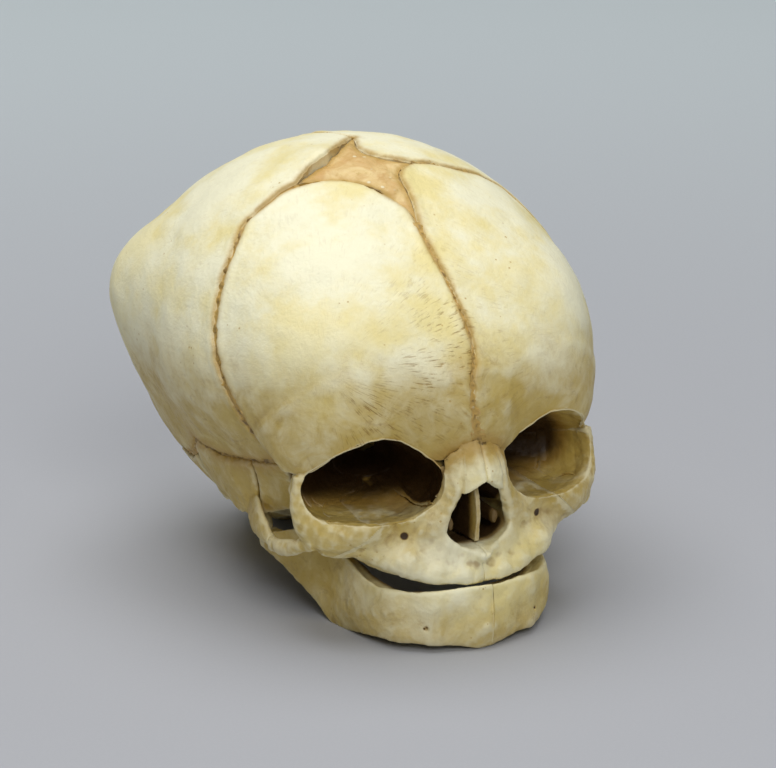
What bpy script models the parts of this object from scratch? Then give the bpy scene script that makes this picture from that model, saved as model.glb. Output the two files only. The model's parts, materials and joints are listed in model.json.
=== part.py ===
"""Anatomical model of a newborn skull, as separate bones in metres.

The skull rests on its jaw and its occiput, +Z is up, the face looks along -Y, and +X is its left.
The braincase bones are curved plates on one shared egg-shaped surface. The face bones are lofts
round the eye sockets, and the lower jaw turns on its two condyles.
"""
import math

import bmesh
import bpy
import numpy as np
from mathutils import Matrix, Vector

# Braincase: half axes of the egg, and where its centre stands
BRAINCASE_HALF_WIDTH = 0.0495
BRAINCASE_FRONT_REACH = 0.0500
BRAINCASE_BACK_REACH = 0.0545
BRAINCASE_TOP_REACH = 0.0465
BRAINCASE_BASE_REACH = 0.0405
BRAINCASE_CENTRE_BACK = 0.0100
BRAINCASE_CENTRE_HEIGHT = 0.0500

# Swellings of the braincase, by how far they stand out or sink in
PARIETAL_BOSS = 0.0053
FRONTAL_BOSS = 0.0070
BROW_SWELL = 0.0070
CROWN_DIP = 0.0020
SIDE_HOLLOW = 0.0057
OCCIPUT_KEEL = 0.0184
OCCIPUT_DIP = 0.0025
TEMPLE_HOLLOW = 0.0050
CROWN_CORNER_STEP = 0.0015

# Face: the box that the face points are shares of
FACE_HALF_WIDTH = 0.0400
FACE_DEPTH = 0.0500
FACE_HEIGHT = 0.0500

# Thicknesses and clearances
PLATE_THICKNESS = 0.0020
THIN_PLATE_THICKNESS = 0.0012
LEAF_THICKNESS = 0.0010
SUTURE_GAP = 0.0006
NEIGHBOUR_GAP = 0.0004
MEMBRANE_RECESS = 0.0005
MEMBRANE_THICKNESS = 0.0009
RIM_FLARE_REACH = 0.0070
JAW_THICKNESS = 0.0062
JAW_SEAM_OFFSET = 0.0010
SEPTUM_THICKNESS = 0.0011
EAR_RING_RADIUS = 0.0040
EAR_RING_BAR = 0.0009
SEAM_STEPS = 40
OCCIPITAL_TOP_STEPS = 4

# How finely the large plates are divided
FRONTAL_COLUMNS = 14
FRONTAL_ROWS = 13
PARIETAL_COLUMNS = 14
PARIETAL_ROWS = 14
OCCIPITAL_COLUMNS = 15
OCCIPITAL_ROWS = 11
SQUAMA_COLUMNS = 10
SQUAMA_ROWS = 8
WING_COLUMNS = 6
WING_ROWS = 8
MASTOID_COLUMNS = 7
MASTOID_ROWS = 7
PYRAMID_COLUMNS = 8
EAR_RING_STEPS = 15
LOST_SHARE = 0.02
SLIVER = 0.00001

# Rim of the left socket, from the nose up, over and round, and the hollow behind it
RIM_SHARES = (
    (0.180, 0.890, 0.750), (0.215, 0.870, 0.800), (0.325, 0.860, 0.866), (0.450, 0.872, 0.916),
    (0.575, 0.866, 0.924), (0.712, 0.806, 0.868), (0.835, 0.684, 0.756), (0.850, 0.684, 0.660),
    (0.800, 0.744, 0.588), (0.662, 0.820, 0.564), (0.520, 0.872, 0.564), (0.362, 0.876, 0.572),
    (0.250, 0.876, 0.616), (0.190, 0.886, 0.680),
)
RIM_COUNT = len(RIM_SHARES)
GLABELLA_SHARES = ((0.000, 0.950, 0.872), (0.095, 0.925, 0.846), (0.170, 0.895, 0.796))
APEX_SHARES = (0.225, 0.280, 0.700)
SOCKET_DEPTH_SHARES = (-0.60, 0.0, 0.12, 0.35, 0.65, 0.90, 1.0)
SOCKET_WIDTH_SHARES = (1.22, 1.0, 1.04, 0.97, 0.66, 0.34, 0.14)
SOCKET_SAG_SHARE = 0.040

# Plates of the socket wall: from and to round the rim, then from and to in depth
ROOF_SHARES = (0.5 / RIM_COUNT, 5.9 / RIM_COUNT, 0.03, 0.90)
CHEEK_WALL_SHARES = (6.05 / RIM_COUNT, 9.6 / RIM_COUNT, 0.02, 0.38)
WING_WALL_SHARES = (6.05 / RIM_COUNT, 9.2 / RIM_COUNT, 0.42, 0.90)
FLOOR_SHARES = (9.7 / RIM_COUNT, 11.9 / RIM_COUNT, 0.06, 0.70)
LACRIMAL_SHARES = (12.6 / RIM_COUNT, 14.35 / RIM_COUNT, 0.06, 0.27)
ETHMOID_SHARES = (12.4 / RIM_COUNT, 14.4 / RIM_COUNT, 0.30, 0.90)

# Where the seams run, as azimuth and elevation in degrees on the left side
METOPIC = ((0.3, -6.6), (-1.6, 0), (-1.8, 6), (0.2, 14), (0.2, 20), (0, 26), (-0.5, 32), (-1.0, 40), (0, 48.5))
CORONAL = ((44, -13.5), (46.5, -10.6), (51, -7.5), (54, -3), (56.5, 1.5), (59, 6), (61, 10.7), (64, 20),
           (66, 31), (67, 39), (68.5, 45), (66, 51))
CORONAL_TOP_LEFT = ((52, 62), (45, 66), (31.5, 70.3))
CORONAL_TOP_RIGHT = ((63, 57), (58, 61.6))
FONTANELLE_FRONT_LEFT = ((0, 48.5), (3, 56), (5.7, 62.4), (7.2, 66.0), (14, 69.3), (31.5, 70.3))
FONTANELLE_FRONT_RIGHT = ((0, 48.5), (-1.1, 53.7), (-4.3, 57), (-10.2, 60.6), (-17.7, 63.8), (-27, 65.8),
                          (-37, 66.2), (-58, 61.6))
FONTANELLE_BACK_LEFT = ((31.5, 70.3), (19.5, 74.6), (2.8, 78.5))
FONTANELLE_CORNER_LEFT = ((2.8, 78.5), (-6.6, 82))
FONTANELLE_BACK_RIGHT = ((-58, 61.6), (-57, 66.5), (-52.4, 73.1), (-50.5, 79.4))
SQUAMOUS = ((44, -13.5), (54, -18.5), (68, -24), (80, -24.5), (88.5, -22.5))
PARIETAL_HEEL = ((88.5, -22.5), (97, -29), (108, -32), (118, -30))
LAMBDOID = ((118, -30), (128, -21), (140, -12), (150, -2), (160, 6), (171, 12), (180, 17))
SAGITTAL = ((180, 17), (179, 30), (181, 48), (179.5, 66), (178, 80))
OCCIPITAL_FOOT = ((131, -47), (150, -55.5), (166, -60), (180, -61))
OCCIPITAL_HEEL = ((131, -47), (124, -38), (118, -30))
FONTANELLE_TIP_SHARES = (0.033, 0.043)
CROWN_CORNER_PLACE = (-52.5, 74)
CROWN_CORNER_SPREAD = 12

# Edges of the smaller plates, in the same degrees: bottom, top, front and back
SQUAMA_EDGES = (
    ((60, -43), (78, -47.5), (95, -46)),
    ((59.5, -21.5), (68, -24.3), (80, -24.8), (88.5, -22.8), (92.5, -25.8)),
    ((60, -43), (59.5, -32), (59.5, -21.5)),
    ((95, -46), (94.5, -35), (92.5, -25.8)),
)
WING_EDGES = (
    ((44, -36), (51, -41), (59, -42)),
    ((44, -14.5), (51, -17.8), (58.6, -21.3)),
    ((44, -36), (43, -25), (44, -14.5)),
    ((59, -42), (58.6, -32), (58.6, -21.3)),
)
MASTOID_EDGES = (
    ((97, -52), (112, -54), (129, -49)),
    ((95.8, -30), (107, -34), (116.5, -32)),
    ((97, -52), (95.8, -40), (95.8, -30)),
    ((129, -49), (122.5, -39), (116.5, -32)),
)
CONDYLE_MEDIAL_SHARES = ((0.10, 0.10), (0.165, 0.30), (0.09, 0.495))
CONDYLE_LATERAL_SHARES = ((0.42, 0.08), (0.54, 0.25), (0.50, 0.415))
CONDYLE_BACK_SHARES = (0.32, 0.475)

# The upper jaw: rings in the plane of the profile, at growing distances from the middle
MAXILLA_SHARES = (
    (0.0000, ((0.972, 0.272), (1.004, 0.300), (0.988, 0.356), (1.024, 0.398), (0.950, 0.428),
              (0.760, 0.420), (0.540, 0.400), (0.530, 0.368), (0.740, 0.356), (0.900, 0.296))),
    (0.0875, ((0.976, 0.276), (1.008, 0.304), (0.984, 0.360), (0.978, 0.424), (0.936, 0.436),
              (0.760, 0.420), (0.540, 0.400), (0.530, 0.368), (0.740, 0.352), (0.896, 0.296))),
    (0.1750, ((0.972, 0.284), (1.002, 0.312), (0.978, 0.372), (0.960, 0.472), (0.924, 0.484),
              (0.760, 0.460), (0.540, 0.432), (0.520, 0.376), (0.730, 0.348), (0.884, 0.296))),
    (0.2500, ((0.956, 0.292), (0.986, 0.320), (0.960, 0.388), (0.932, 0.500), (0.904, 0.620),
              (0.760, 0.620), (0.520, 0.620), (0.490, 0.430), (0.700, 0.336), (0.868, 0.296))),
    (0.3500, ((0.928, 0.304), (0.960, 0.332), (0.940, 0.396), (0.900, 0.500), (0.892, 0.610),
              (0.740, 0.620), (0.500, 0.620), (0.470, 0.430), (0.620, 0.320), (0.830, 0.300))),
    (0.4375, ((0.880, 0.320), (0.920, 0.344), (0.912, 0.400), (0.880, 0.492), (0.876, 0.596),
              (0.720, 0.610), (0.500, 0.610), (0.470, 0.430), (0.560, 0.328), (0.740, 0.308))),
    (0.5125, ((0.780, 0.340), (0.848, 0.360), (0.860, 0.408), (0.860, 0.480), (0.868, 0.580),
              (0.720, 0.600), (0.520, 0.600), (0.500, 0.450), (0.560, 0.360), (0.660, 0.336))),
    (0.6125, ((0.760, 0.392), (0.792, 0.400), (0.816, 0.424), (0.836, 0.480), (0.840, 0.572),
              (0.740, 0.590), (0.660, 0.580), (0.630, 0.500), (0.660, 0.436), (0.710, 0.398))),
    (0.7125, ((0.728, 0.400), (0.756, 0.408), (0.776, 0.436), (0.792, 0.500), (0.796, 0.572),
              (0.720, 0.588), (0.660, 0.580), (0.636, 0.510), (0.660, 0.440), (0.696, 0.404))),
    (0.7750, ((0.704, 0.410), (0.728, 0.416), (0.744, 0.440), (0.752, 0.490), (0.750, 0.540),
              (0.700, 0.550), (0.660, 0.540), (0.640, 0.500), (0.656, 0.446), (0.684, 0.412))),
)
# Frontal process of the upper jaw: inner edge, outer edge and thickness, going up
NOSE_WALL_SHARES = (
    ((0.210, 0.880, 0.420), (0.360, 0.850, 0.420), 0.060),
    ((0.188, 0.920, 0.490), (0.350, 0.880, 0.490), 0.062),
    ((0.165, 0.938, 0.560), (0.300, 0.880, 0.560), 0.060),
    ((0.140, 0.958, 0.620), (0.250, 0.884, 0.620), 0.056),
    ((0.117, 0.968, 0.680), (0.210, 0.890, 0.680), 0.052),
    ((0.102, 0.964, 0.750), (0.188, 0.894, 0.730), 0.048),
    ((0.095, 0.948, 0.815), (0.172, 0.896, 0.770), 0.042),
    ((0.090, 0.926, 0.856), (0.172, 0.884, 0.806), 0.034),
)
NASAL_SHARES = (
    ((0.000, 1.022, 0.730), (0.112, 0.978, 0.668), 0.034),
    ((0.000, 1.004, 0.772), (0.108, 0.972, 0.724), 0.036),
    ((0.000, 0.980, 0.812), (0.100, 0.954, 0.780), 0.042),
    ((0.000, 0.956, 0.848), (0.096, 0.932, 0.824), 0.042),
    ((0.000, 0.934, 0.884), (0.092, 0.912, 0.866), 0.036),
)
# Cheekbone: rim edge, outer edge and thickness, from the upper jaw round to the brow
CHEEK_SHARES = (
    ((0.450, 0.880, 0.572), (0.585, 0.790, 0.385), 0.100),
    ((0.562, 0.868, 0.568), (0.690, 0.765, 0.400), 0.100),
    ((0.670, 0.822, 0.566), (0.760, 0.735, 0.420), 0.100),
    ((0.770, 0.766, 0.574), (0.825, 0.675, 0.448), 0.094),
    ((0.828, 0.712, 0.616), (0.876, 0.640, 0.560), 0.076),
    ((0.846, 0.686, 0.680), (0.880, 0.632, 0.660), 0.062),
    ((0.836, 0.684, 0.744), (0.864, 0.630, 0.748), 0.058),
)
CHEEK_SUTURE_SHARES = ((0.515, 0.564), (0.735, 0.400))
ARCH_SHARES = ((0.800, 0.720, 0.480), (0.845, 0.610, 0.424), (0.865, 0.500, 0.392), (0.863, 0.408, 0.376))
ARCH_HEIGHT_SHARES = (0.050, 0.036, 0.031, 0.030)
ARCH_WIDTH_SHARES = (0.036, 0.024, 0.022, 0.022)
PROCESS_SHARES = ((0.858, 0.396, 0.384), (0.842, 0.260, 0.420), (0.790, 0.130, 0.430), (0.715, 0.020, 0.440))
PROCESS_HEIGHT_SHARES = (0.040, 0.084, 0.102, 0.112)
PROCESS_WIDTH_SHARES = (0.022, 0.022, 0.030, 0.046)

# Lower jaw: outer point of the path, low and high edge, lean and thickness
JAW_SHARES = (
    ((-0.070, 1.060), 0.000, 0.276, 0.00, 1.00),
    ((0.040, 1.064), 0.000, 0.276, 0.00, 1.00),
    ((0.150, 1.040), 0.020, 0.278, 0.00, 1.00),
    ((0.300, 0.994), 0.030, 0.280, 0.00, 1.00),
    ((0.425, 0.926), 0.036, 0.284, 0.00, 1.00),
    ((0.510, 0.824), 0.036, 0.284, 0.00, 1.00),
    ((0.545, 0.700), 0.020, 0.296, 0.00, 0.95),
    ((0.556, 0.590), -0.006, 0.318, 0.00, 0.90),
    ((0.572, 0.480), -0.008, 0.352, 0.01, 0.80),
    ((0.630, 0.370), 0.096, 0.400, 0.03, 0.60),
    ((0.685, 0.280), 0.170, 0.330, 0.02, 0.55),
    ((0.740, 0.200), 0.225, 0.310, 0.00, 0.70),
    ((0.770, 0.130), 0.256, 0.336, 0.00, 0.85),
)
# Section of the jaw: outward share of the thickness, and height share
JAW_SECTION_SHARES = ((-0.62, 0.00), (-0.20, 0.00), (-0.04, 0.14), (0.00, 0.45), (-0.06, 0.80), (-0.14, 1.00),
                      (-0.50, 0.90), (-0.90, 0.86), (-1.00, 0.55), (-0.92, 0.16))
HINGE_SHARES = (0.0, 0.136, 0.296)

# Middle of the base and the inside of the nose: places, then half widths and heights
BASIOCCIPITAL_SHARES = (((0.0, -0.250, 0.205), 0.150, 0.036), ((0.0, -0.150, 0.290), 0.165, 0.044),
                        ((0.0, -0.050, 0.375), 0.180, 0.056))
SPHENOID_SHARES = (((0.0, -0.040, 0.385), 0.180, 0.060), ((0.0, 0.120, 0.520), 0.200, 0.100),
                   ((0.0, 0.280, 0.620), 0.180, 0.090))
PALATINE_SHARES = (((0.145, 0.518, 0.392), 0.135, 0.030), ((0.145, 0.430, 0.388), 0.130, 0.026))
BLOCK_POWER = 0.6
CONCHA_SHARES = ((0.130, 0.900, 0.520), (0.124, 0.780, 0.525), (0.124, 0.620, 0.515))
CONCHA_HEIGHT_SHARES = (0.030, 0.040, 0.028)
CONCHA_WIDTH_SHARES = (0.012, 0.020, 0.014)
SEPTUM_SHARES = ((0.935, 0.440), (0.950, 0.540), (0.940, 0.640), (0.905, 0.705), (0.600, 0.740),
                 (0.380, 0.660), (0.330, 0.560), (0.500, 0.416), (0.760, 0.434))
PYRAMID_SHARES = (((0.720, -0.300, 0.420), 0.085, 0.130), ((0.560, -0.220, 0.420), 0.090, 0.110),
                  ((0.380, -0.100, 0.430), 0.070, 0.075), ((0.220, -0.010, 0.440), 0.045, 0.050))
# Where the greater wing meets the sphenoid body, and the path of the pterygoid process below it
WING_ROOT_SHARES = ((0.190, 0.270, 0.590), (0.195, 0.120, 0.520), (0.190, -0.020, 0.420))
PTERYGOID_SHARES = ((0.270, 0.220, 0.560), (0.262, 0.300, 0.480), (0.255, 0.350, 0.390), (0.250, 0.385, 0.300))
PTERYGOID_HEIGHT_SHARES = (0.060, 0.050, 0.040, 0.020)
PTERYGOID_WIDTH_SHARES = (0.034, 0.028, 0.022, 0.016)

# Ring of the ear: its middle, how far it slants, and its open turn in degrees
EAR_RING_PLACE_SHARES = (0.655, -0.060, 0.345)
EAR_RING_SLANT_SHARE = 0.35
EAR_RING_TURN = (-215, 55)

FRONTAL_NEIGHBOURS = ("zygomatic", "maxilla", "nasal", "sphenoid_greater_wing", "lacrimal", "ethmoid")

BONE_COLOUR = (0.83, 0.76, 0.60)
VAULT_COLOUR = (0.86, 0.82, 0.70)
MEMBRANE_COLOUR = (0.72, 0.52, 0.30)
DEEP_COLOUR = (0.62, 0.50, 0.33)


# Scene and materials

def clear_scene():
    for item in list(bpy.data.objects):
        bpy.data.objects.remove(item, do_unlink=True)


def collection(name):
    group = bpy.data.collections.new(name)
    bpy.context.scene.collection.children.link(group)
    return group


def material(name, colour, roughness):
    finish = bpy.data.materials.new(name)
    finish.use_nodes = True
    shader = finish.node_tree.nodes["Principled BSDF"]
    shader.inputs["Base Color"].default_value = (*colour, 1.0)
    shader.inputs["Roughness"].default_value = roughness
    shader.inputs["Metallic"].default_value = 0.0
    return finish


clear_scene()
SKULL = collection("newborn_skull")
CUTTERS = collection("cutters")


# Curves and grids

def unit(vectors):
    vectors = np.asarray(vectors, float)
    return vectors / np.linalg.norm(vectors, axis=-1, keepdims=True)


def curve(points):
    """A smooth curve through the points, as a function of a share of its length from 0 to 1."""
    points = np.array(points, float)
    steps = np.linalg.norm(np.diff(points, axis=0), axis=1)
    knots = np.concatenate([[0.0], np.cumsum(steps)]) / steps.sum()
    slopes = np.gradient(points, knots, axis=0) if len(points) > 2 else np.tile(points[1] - points[0], (2, 1))

    def at(share):
        share = np.atleast_1d(np.asarray(share, float))
        index = np.clip(np.searchsorted(knots, share, side="right") - 1, 0, len(knots) - 2)
        span = (knots[index + 1] - knots[index])[:, None]
        t = (share - knots[index])[:, None] / span
        start, end = points[index], points[index + 1]
        return ((2 * t**3 - 3 * t**2 + 1) * start + (t**3 - 2 * t**2 + t) * span * slopes[index]
                + (3 * t**2 - 2 * t**3) * end + (t**3 - t**2) * span * slopes[index + 1])

    return at


def loop_curve(points):
    """A smooth closed curve through the points, as a function of a share from 0 to 1."""
    points = np.array(points, float)
    count = len(points)

    def at(share):
        place = np.atleast_1d(np.asarray(share, float)) % 1.0 * count
        index = place.astype(int) % count
        t = (place - np.floor(place))[:, None]
        before, start = points[index - 1], points[index]
        end, after = points[(index + 1) % count], points[(index + 2) % count]
        return start + 0.5 * t * (end - before + t * (2 * before - 5 * start + 4 * end - after
                                                      + t * (3 * (start - end) + after - before)))

    return at


def polyline(points):
    """Straight steps through many close points, as a function of a share of the length."""
    points = np.array(points, float)
    steps = np.linalg.norm(np.diff(points, axis=0), axis=1)
    knots = np.concatenate([[0.0], np.cumsum(steps)]) / steps.sum()

    def at(share):
        share = np.atleast_1d(np.asarray(share, float))
        return np.stack([np.interp(share, knots, points[:, axis]) for axis in range(3)], axis=-1)

    return at


def coons(bottom, top, left, right, columns, rows, inset):
    """Grid between four edge curves, each edge drawn in by the inset length."""
    width = np.linalg.norm(np.diff(bottom(np.linspace(0, 1, 20)), axis=0), axis=1).sum()
    width += np.linalg.norm(np.diff(top(np.linspace(0, 1, 20)), axis=0), axis=1).sum()
    height = np.linalg.norm(np.diff(left(np.linspace(0, 1, 20)), axis=0), axis=1).sum()
    height += np.linalg.norm(np.diff(right(np.linspace(0, 1, 20)), axis=0), axis=1).sum()
    side, end = inset / (width / 2), inset / (height / 2)
    across = np.linspace(side, 1 - side, columns)
    up = np.linspace(end, 1 - end, rows)
    u, v = across[None, :, None], up[:, None, None]
    low, high = bottom(across)[None], top(across)[None]
    near, far = left(up)[:, None], right(up)[:, None]
    corners = ((1 - u) * (1 - v) * bottom(0)[0] + u * (1 - v) * bottom(1)[0]
               + (1 - u) * v * top(0)[0] + u * v * top(1)[0])
    return (1 - v) * low + v * high + (1 - u) * near + u * far - corners


def grid_faces(rows, columns, closed=False):
    faces = []
    for row in range(rows - 1):
        for column in range(columns if closed else columns - 1):
            following = (column + 1) % columns
            faces.append((row * columns + column, row * columns + following,
                          (row + 1) * columns + following, (row + 1) * columns + column))
    return faces


# Meshes and solids

def new_object(name, vertices, faces, finish, group=None):
    mesh = bpy.data.meshes.new(name)
    mesh.from_pydata([tuple(vertex) for vertex in vertices], [], faces)
    mesh.validate()
    item = bpy.data.objects.new(name, mesh)
    (group or SKULL).objects.link(item)
    if finish:
        mesh.materials.append(finish)
    return item


def settle(item):
    """Keeps what the modifiers show as the object's own mesh."""
    bpy.context.view_layer.update()
    graph = bpy.context.evaluated_depsgraph_get()
    mesh = bpy.data.meshes.new_from_object(item.evaluated_get(graph))
    old = item.data
    item.modifiers.clear()
    item.data = mesh
    mesh.name = item.name
    bpy.data.meshes.remove(old)
    return item


def face_outwards(item):
    shape = bmesh.new()
    shape.from_mesh(item.data)
    bmesh.ops.recalc_face_normals(shape, faces=shape.faces)
    if shape.calc_volume(signed=True) < 0:
        bmesh.ops.reverse_faces(shape, faces=shape.faces)
    shape.to_mesh(item.data)
    shape.free()
    return item


def plate(name, grid, thickness, finish, away_from):
    """A curved plate: an open grid that Solidify thickens towards the point away_from faces."""
    rows, columns, _ = grid.shape
    faces = grid_faces(rows, columns)
    middle = grid[rows // 2, columns // 2]
    across = grid[rows // 2, columns // 2 + 1] - middle
    up = grid[rows // 2 + 1, columns // 2] - middle
    if np.dot(np.cross(across, up), middle - np.asarray(away_from)) < 0:
        faces = [tuple(reversed(face)) for face in faces]
    item = new_object(name, grid.reshape(-1, 3), faces, finish)
    shell = item.modifiers.new("thickness", "SOLIDIFY")
    shell.thickness = thickness
    shell.offset = -1.0
    shell.use_even_offset = True
    shell.use_rim = True
    settle(item)
    return face_outwards(item)


def loft(name, rings, finish, rows, columns, group=None):
    """A closed solid through rings of points, smoothed round each ring and along the row of rings."""
    rings = np.array(rings, float)
    round_shares = np.arange(columns) / columns
    smooth = np.array([loop_curve(ring)(round_shares) for ring in rings])
    shares = np.linspace(0, 1, rows)
    steps = np.linalg.norm(np.diff(smooth.mean(axis=1), axis=0), axis=1)
    knots = np.concatenate([[0.0], np.cumsum(steps)]) / steps.sum()
    slopes = np.gradient(smooth.reshape(len(rings), -1), knots, axis=0) if len(rings) > 2 else \
        np.tile((smooth[1] - smooth[0]).reshape(-1), (2, 1))
    index = np.clip(np.searchsorted(knots, shares, side="right") - 1, 0, len(knots) - 2)
    span = (knots[index + 1] - knots[index])[:, None]
    t = (shares - knots[index])[:, None] / span
    flat = smooth.reshape(len(rings), -1)
    body = ((2 * t**3 - 3 * t**2 + 1) * flat[index] + (t**3 - 2 * t**2 + t) * span * slopes[index]
            + (3 * t**2 - 2 * t**3) * flat[index + 1] + (t**3 - t**2) * span * slopes[index + 1])
    body = body.reshape(rows, columns, 3)
    vertices = list(body.reshape(-1, 3))
    faces = grid_faces(rows, columns, closed=True)
    first, last = len(vertices), len(vertices) + 1
    vertices += [body[0].mean(axis=0), body[-1].mean(axis=0)]
    for column in range(columns):
        following = (column + 1) % columns
        faces.append((first, following, column))
        faces.append((last, (rows - 1) * columns + column, (rows - 1) * columns + following))
    item = new_object(name, vertices, faces, finish, group)
    return face_outwards(item)


def boolean(item, other, operation, solver="EXACT"):
    step = item.modifiers.new(operation.lower(), "BOOLEAN")
    step.operation = operation
    step.solver = solver
    step.object = other
    return settle(item)


def join_solids(item, *others):
    for other in others:
        boolean(item, other, "UNION")
        bpy.data.objects.remove(other, do_unlink=True)
    return item


def volume_of(mesh):
    shape = bmesh.new()
    shape.from_mesh(mesh)
    volume = shape.calc_volume()
    shape.free()
    return volume


def carve(item, cutter):
    """Cuts the cutter out of the item, again with the other solver where the exact one loses the bone."""
    whole = item.data.copy()
    boolean(item, cutter, "DIFFERENCE")
    if volume_of(item.data) < LOST_SHARE * volume_of(whole):
        item.data = whole
        return boolean(item, cutter, "DIFFERENCE", "MANIFOLD")
    bpy.data.meshes.remove(whole)
    return item


def keep_largest(item):
    """Drops the loose slivers that a cut can leave."""
    shape = bmesh.new()
    shape.from_mesh(item.data)
    bmesh.ops.remove_doubles(shape, verts=shape.verts, dist=SLIVER)
    left = set(shape.verts)
    islands = []
    while left:
        stack = [left.pop()]
        island = set(stack)
        while stack:
            vertex = stack.pop()
            for edge in vertex.link_edges:
                other = edge.other_vert(vertex)
                if other in left:
                    left.discard(other)
                    island.add(other)
                    stack.append(other)
        islands.append(island)
    largest = max(islands, key=len)
    bmesh.ops.delete(shape, geom=[v for v in shape.verts if v not in largest], context="VERTS")
    bmesh.ops.triangulate(shape, faces=shape.faces)
    bmesh.ops.recalc_face_normals(shape, faces=shape.faces)
    shape.to_mesh(item.data)
    shape.free()
    return item


def swollen(item, amount):
    """A cutter: a copy of the item grown by the amount along its normals."""
    mesh = item.data.copy()
    copy = bpy.data.objects.new(item.name + "_room", mesh)
    CUTTERS.objects.link(copy)
    copy.hide_render = True
    copy.display_type = "WIRE"
    shape = bmesh.new()
    shape.from_mesh(mesh)
    bmesh.ops.remove_doubles(shape, verts=shape.verts, dist=SLIVER)
    shape.normal_update()
    for vertex in shape.verts:
        vertex.co = vertex.co + vertex.normal * amount
    shape.to_mesh(mesh)
    shape.free()
    return copy


def mirror_copy(item):
    """The same bone on the right side."""
    mesh = item.data.copy()
    copy = bpy.data.objects.new(item.name.replace("left", "right"), mesh)
    SKULL.objects.link(copy)
    mesh.transform(Matrix.Scale(-1, 4, (1, 0, 0)))
    mesh.flip_normals()
    return copy


def make_room(item, *neighbours):
    """Cuts the item clear of its neighbours by the neighbour gap."""
    for neighbour in neighbours:
        room = swollen(neighbour, NEIGHBOUR_GAP)
        carve(item, room)
        bpy.data.objects.remove(room, do_unlink=True)
    return keep_largest(item)


def slice_off(item, point, normal):
    """Cuts away what lies on the side that the normal points to, and closes the cut."""
    shape = bmesh.new()
    shape.from_mesh(item.data)
    bmesh.ops.remove_doubles(shape, verts=shape.verts, dist=SLIVER)
    geometry = shape.verts[:] + shape.edges[:] + shape.faces[:]
    cut = bmesh.ops.bisect_plane(shape, geom=geometry, dist=SLIVER, plane_co=Vector(point),
                                 plane_no=Vector(normal), clear_outer=True)
    edges = [e for e in cut["geom_cut"] if isinstance(e, bmesh.types.BMEdge)]
    bmesh.ops.holes_fill(shape, edges=edges, sides=0)
    bmesh.ops.triangulate(shape, faces=shape.faces)
    shape.to_mesh(item.data)
    shape.free()
    return face_outwards(item)


def flat_below(item):
    """Rests the bone on the surface below with a small flat."""
    return keep_largest(slice_off(item, (0, 0, 0), (0, 0, -1)))


# The shared braincase surface

def direction(azimuth, elevation):
    """Unit vector: azimuth from the face towards the left ear, elevation above the level, in degrees."""
    a, e = np.radians(azimuth), np.radians(elevation)
    return np.stack([np.sin(a) * np.cos(e), -np.cos(a) * np.cos(e), np.sin(e)], axis=-1)


def below(side_share, back_share):
    """Unit vector to the underside, from how far it leans sideways and back."""
    return np.array([side_share, back_share, -math.sqrt(1 - side_share**2 - back_share**2)])


CENTRE = np.array([0.0, BRAINCASE_CENTRE_BACK, BRAINCASE_CENTRE_HEIGHT])

# Height, then azimuth, elevation and spread in degrees
BOSSES = (
    (PARIETAL_BOSS, 122, 16, 14.5),
    (FRONTAL_BOSS, 33, 10.5, 24.5),
    (BROW_SWELL, 0, -2, 22.5),
    (-CROWN_DIP, 0, 56, 29),
    (-SIDE_HOLLOW, 98.5, -16, 23.5),
    (OCCIPUT_KEEL, 180, -51, 20),
    (-OCCIPUT_DIP, 180, -5.5, 29.5),
    (-TEMPLE_HOLLOW, 65, -24, 19),
)


def braincase_radius(directions):
    """Distance from the centre to the outer surface: an egg of half axes, plus bell-shaped bosses."""
    x, y, z = directions[..., 0], directions[..., 1], directions[..., 2]
    along = np.where(y < 0, BRAINCASE_FRONT_REACH, BRAINCASE_BACK_REACH)
    upright = np.where(z > 0, BRAINCASE_TOP_REACH, BRAINCASE_BASE_REACH)
    radius = 1 / np.sqrt((x / BRAINCASE_HALF_WIDTH)**2 + (y / along)**2 + (z / upright)**2)
    for height, azimuth, elevation, spread in BOSSES:
        for side in ((1,) if azimuth in (0, 180) else (1, -1)):
            towards = direction(side * azimuth, elevation)
            angle = np.degrees(np.arccos(np.clip(directions @ towards, -1, 1)))
            radius = radius + height * np.exp(-(angle / spread)**2)
    return radius


def on_braincase(directions, raised=0.0):
    directions = unit(directions)
    return CENTRE + (braincase_radius(directions) + raised)[..., None] * directions


def above(side_share, back_share):
    """Unit vector to the crown, from how far it leans sideways and back."""
    return np.array([side_share, back_share, math.sqrt(1 - side_share**2 - back_share**2)])


FONTANELLE_BACK_TIP = above(*FONTANELLE_TIP_SHARES)


def around(places, side=1):
    return [direction(side * azimuth, elevation) for azimuth, elevation in places]


def seam(points):
    """A seam between bones: many unit vectors, smooth through the given ones."""
    return unit(curve(points)(np.linspace(0, 1, SEAM_STEPS)))


def chain(*seams):
    """One edge out of several seams that follow each other."""
    joined = [seams[0]]
    for following in seams[1:]:
        joined.append(following[1:])
    return np.concatenate(joined)


def mirrored(points):
    return np.array(points) * (-1, 1, 1)


def braincase_grid(bottom, top, left, right, columns, rows, inset, raised=0.0):
    """Grid on the braincase between four edges given as lists of unit vectors."""
    edges = [polyline(edge) for edge in (bottom, top, left, right)]
    return on_braincase(coons(*edges, columns, rows, inset / BRAINCASE_HALF_WIDTH), raised)


# The eye socket

def face(across, forward, up, side=1):
    """A face point from shares of the face box."""
    return np.array([side * across * FACE_HALF_WIDTH, -forward * FACE_DEPTH, up * FACE_HEIGHT])


def rim_points(side):
    return np.array([face(*share, side) for share in RIM_SHARES])


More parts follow.
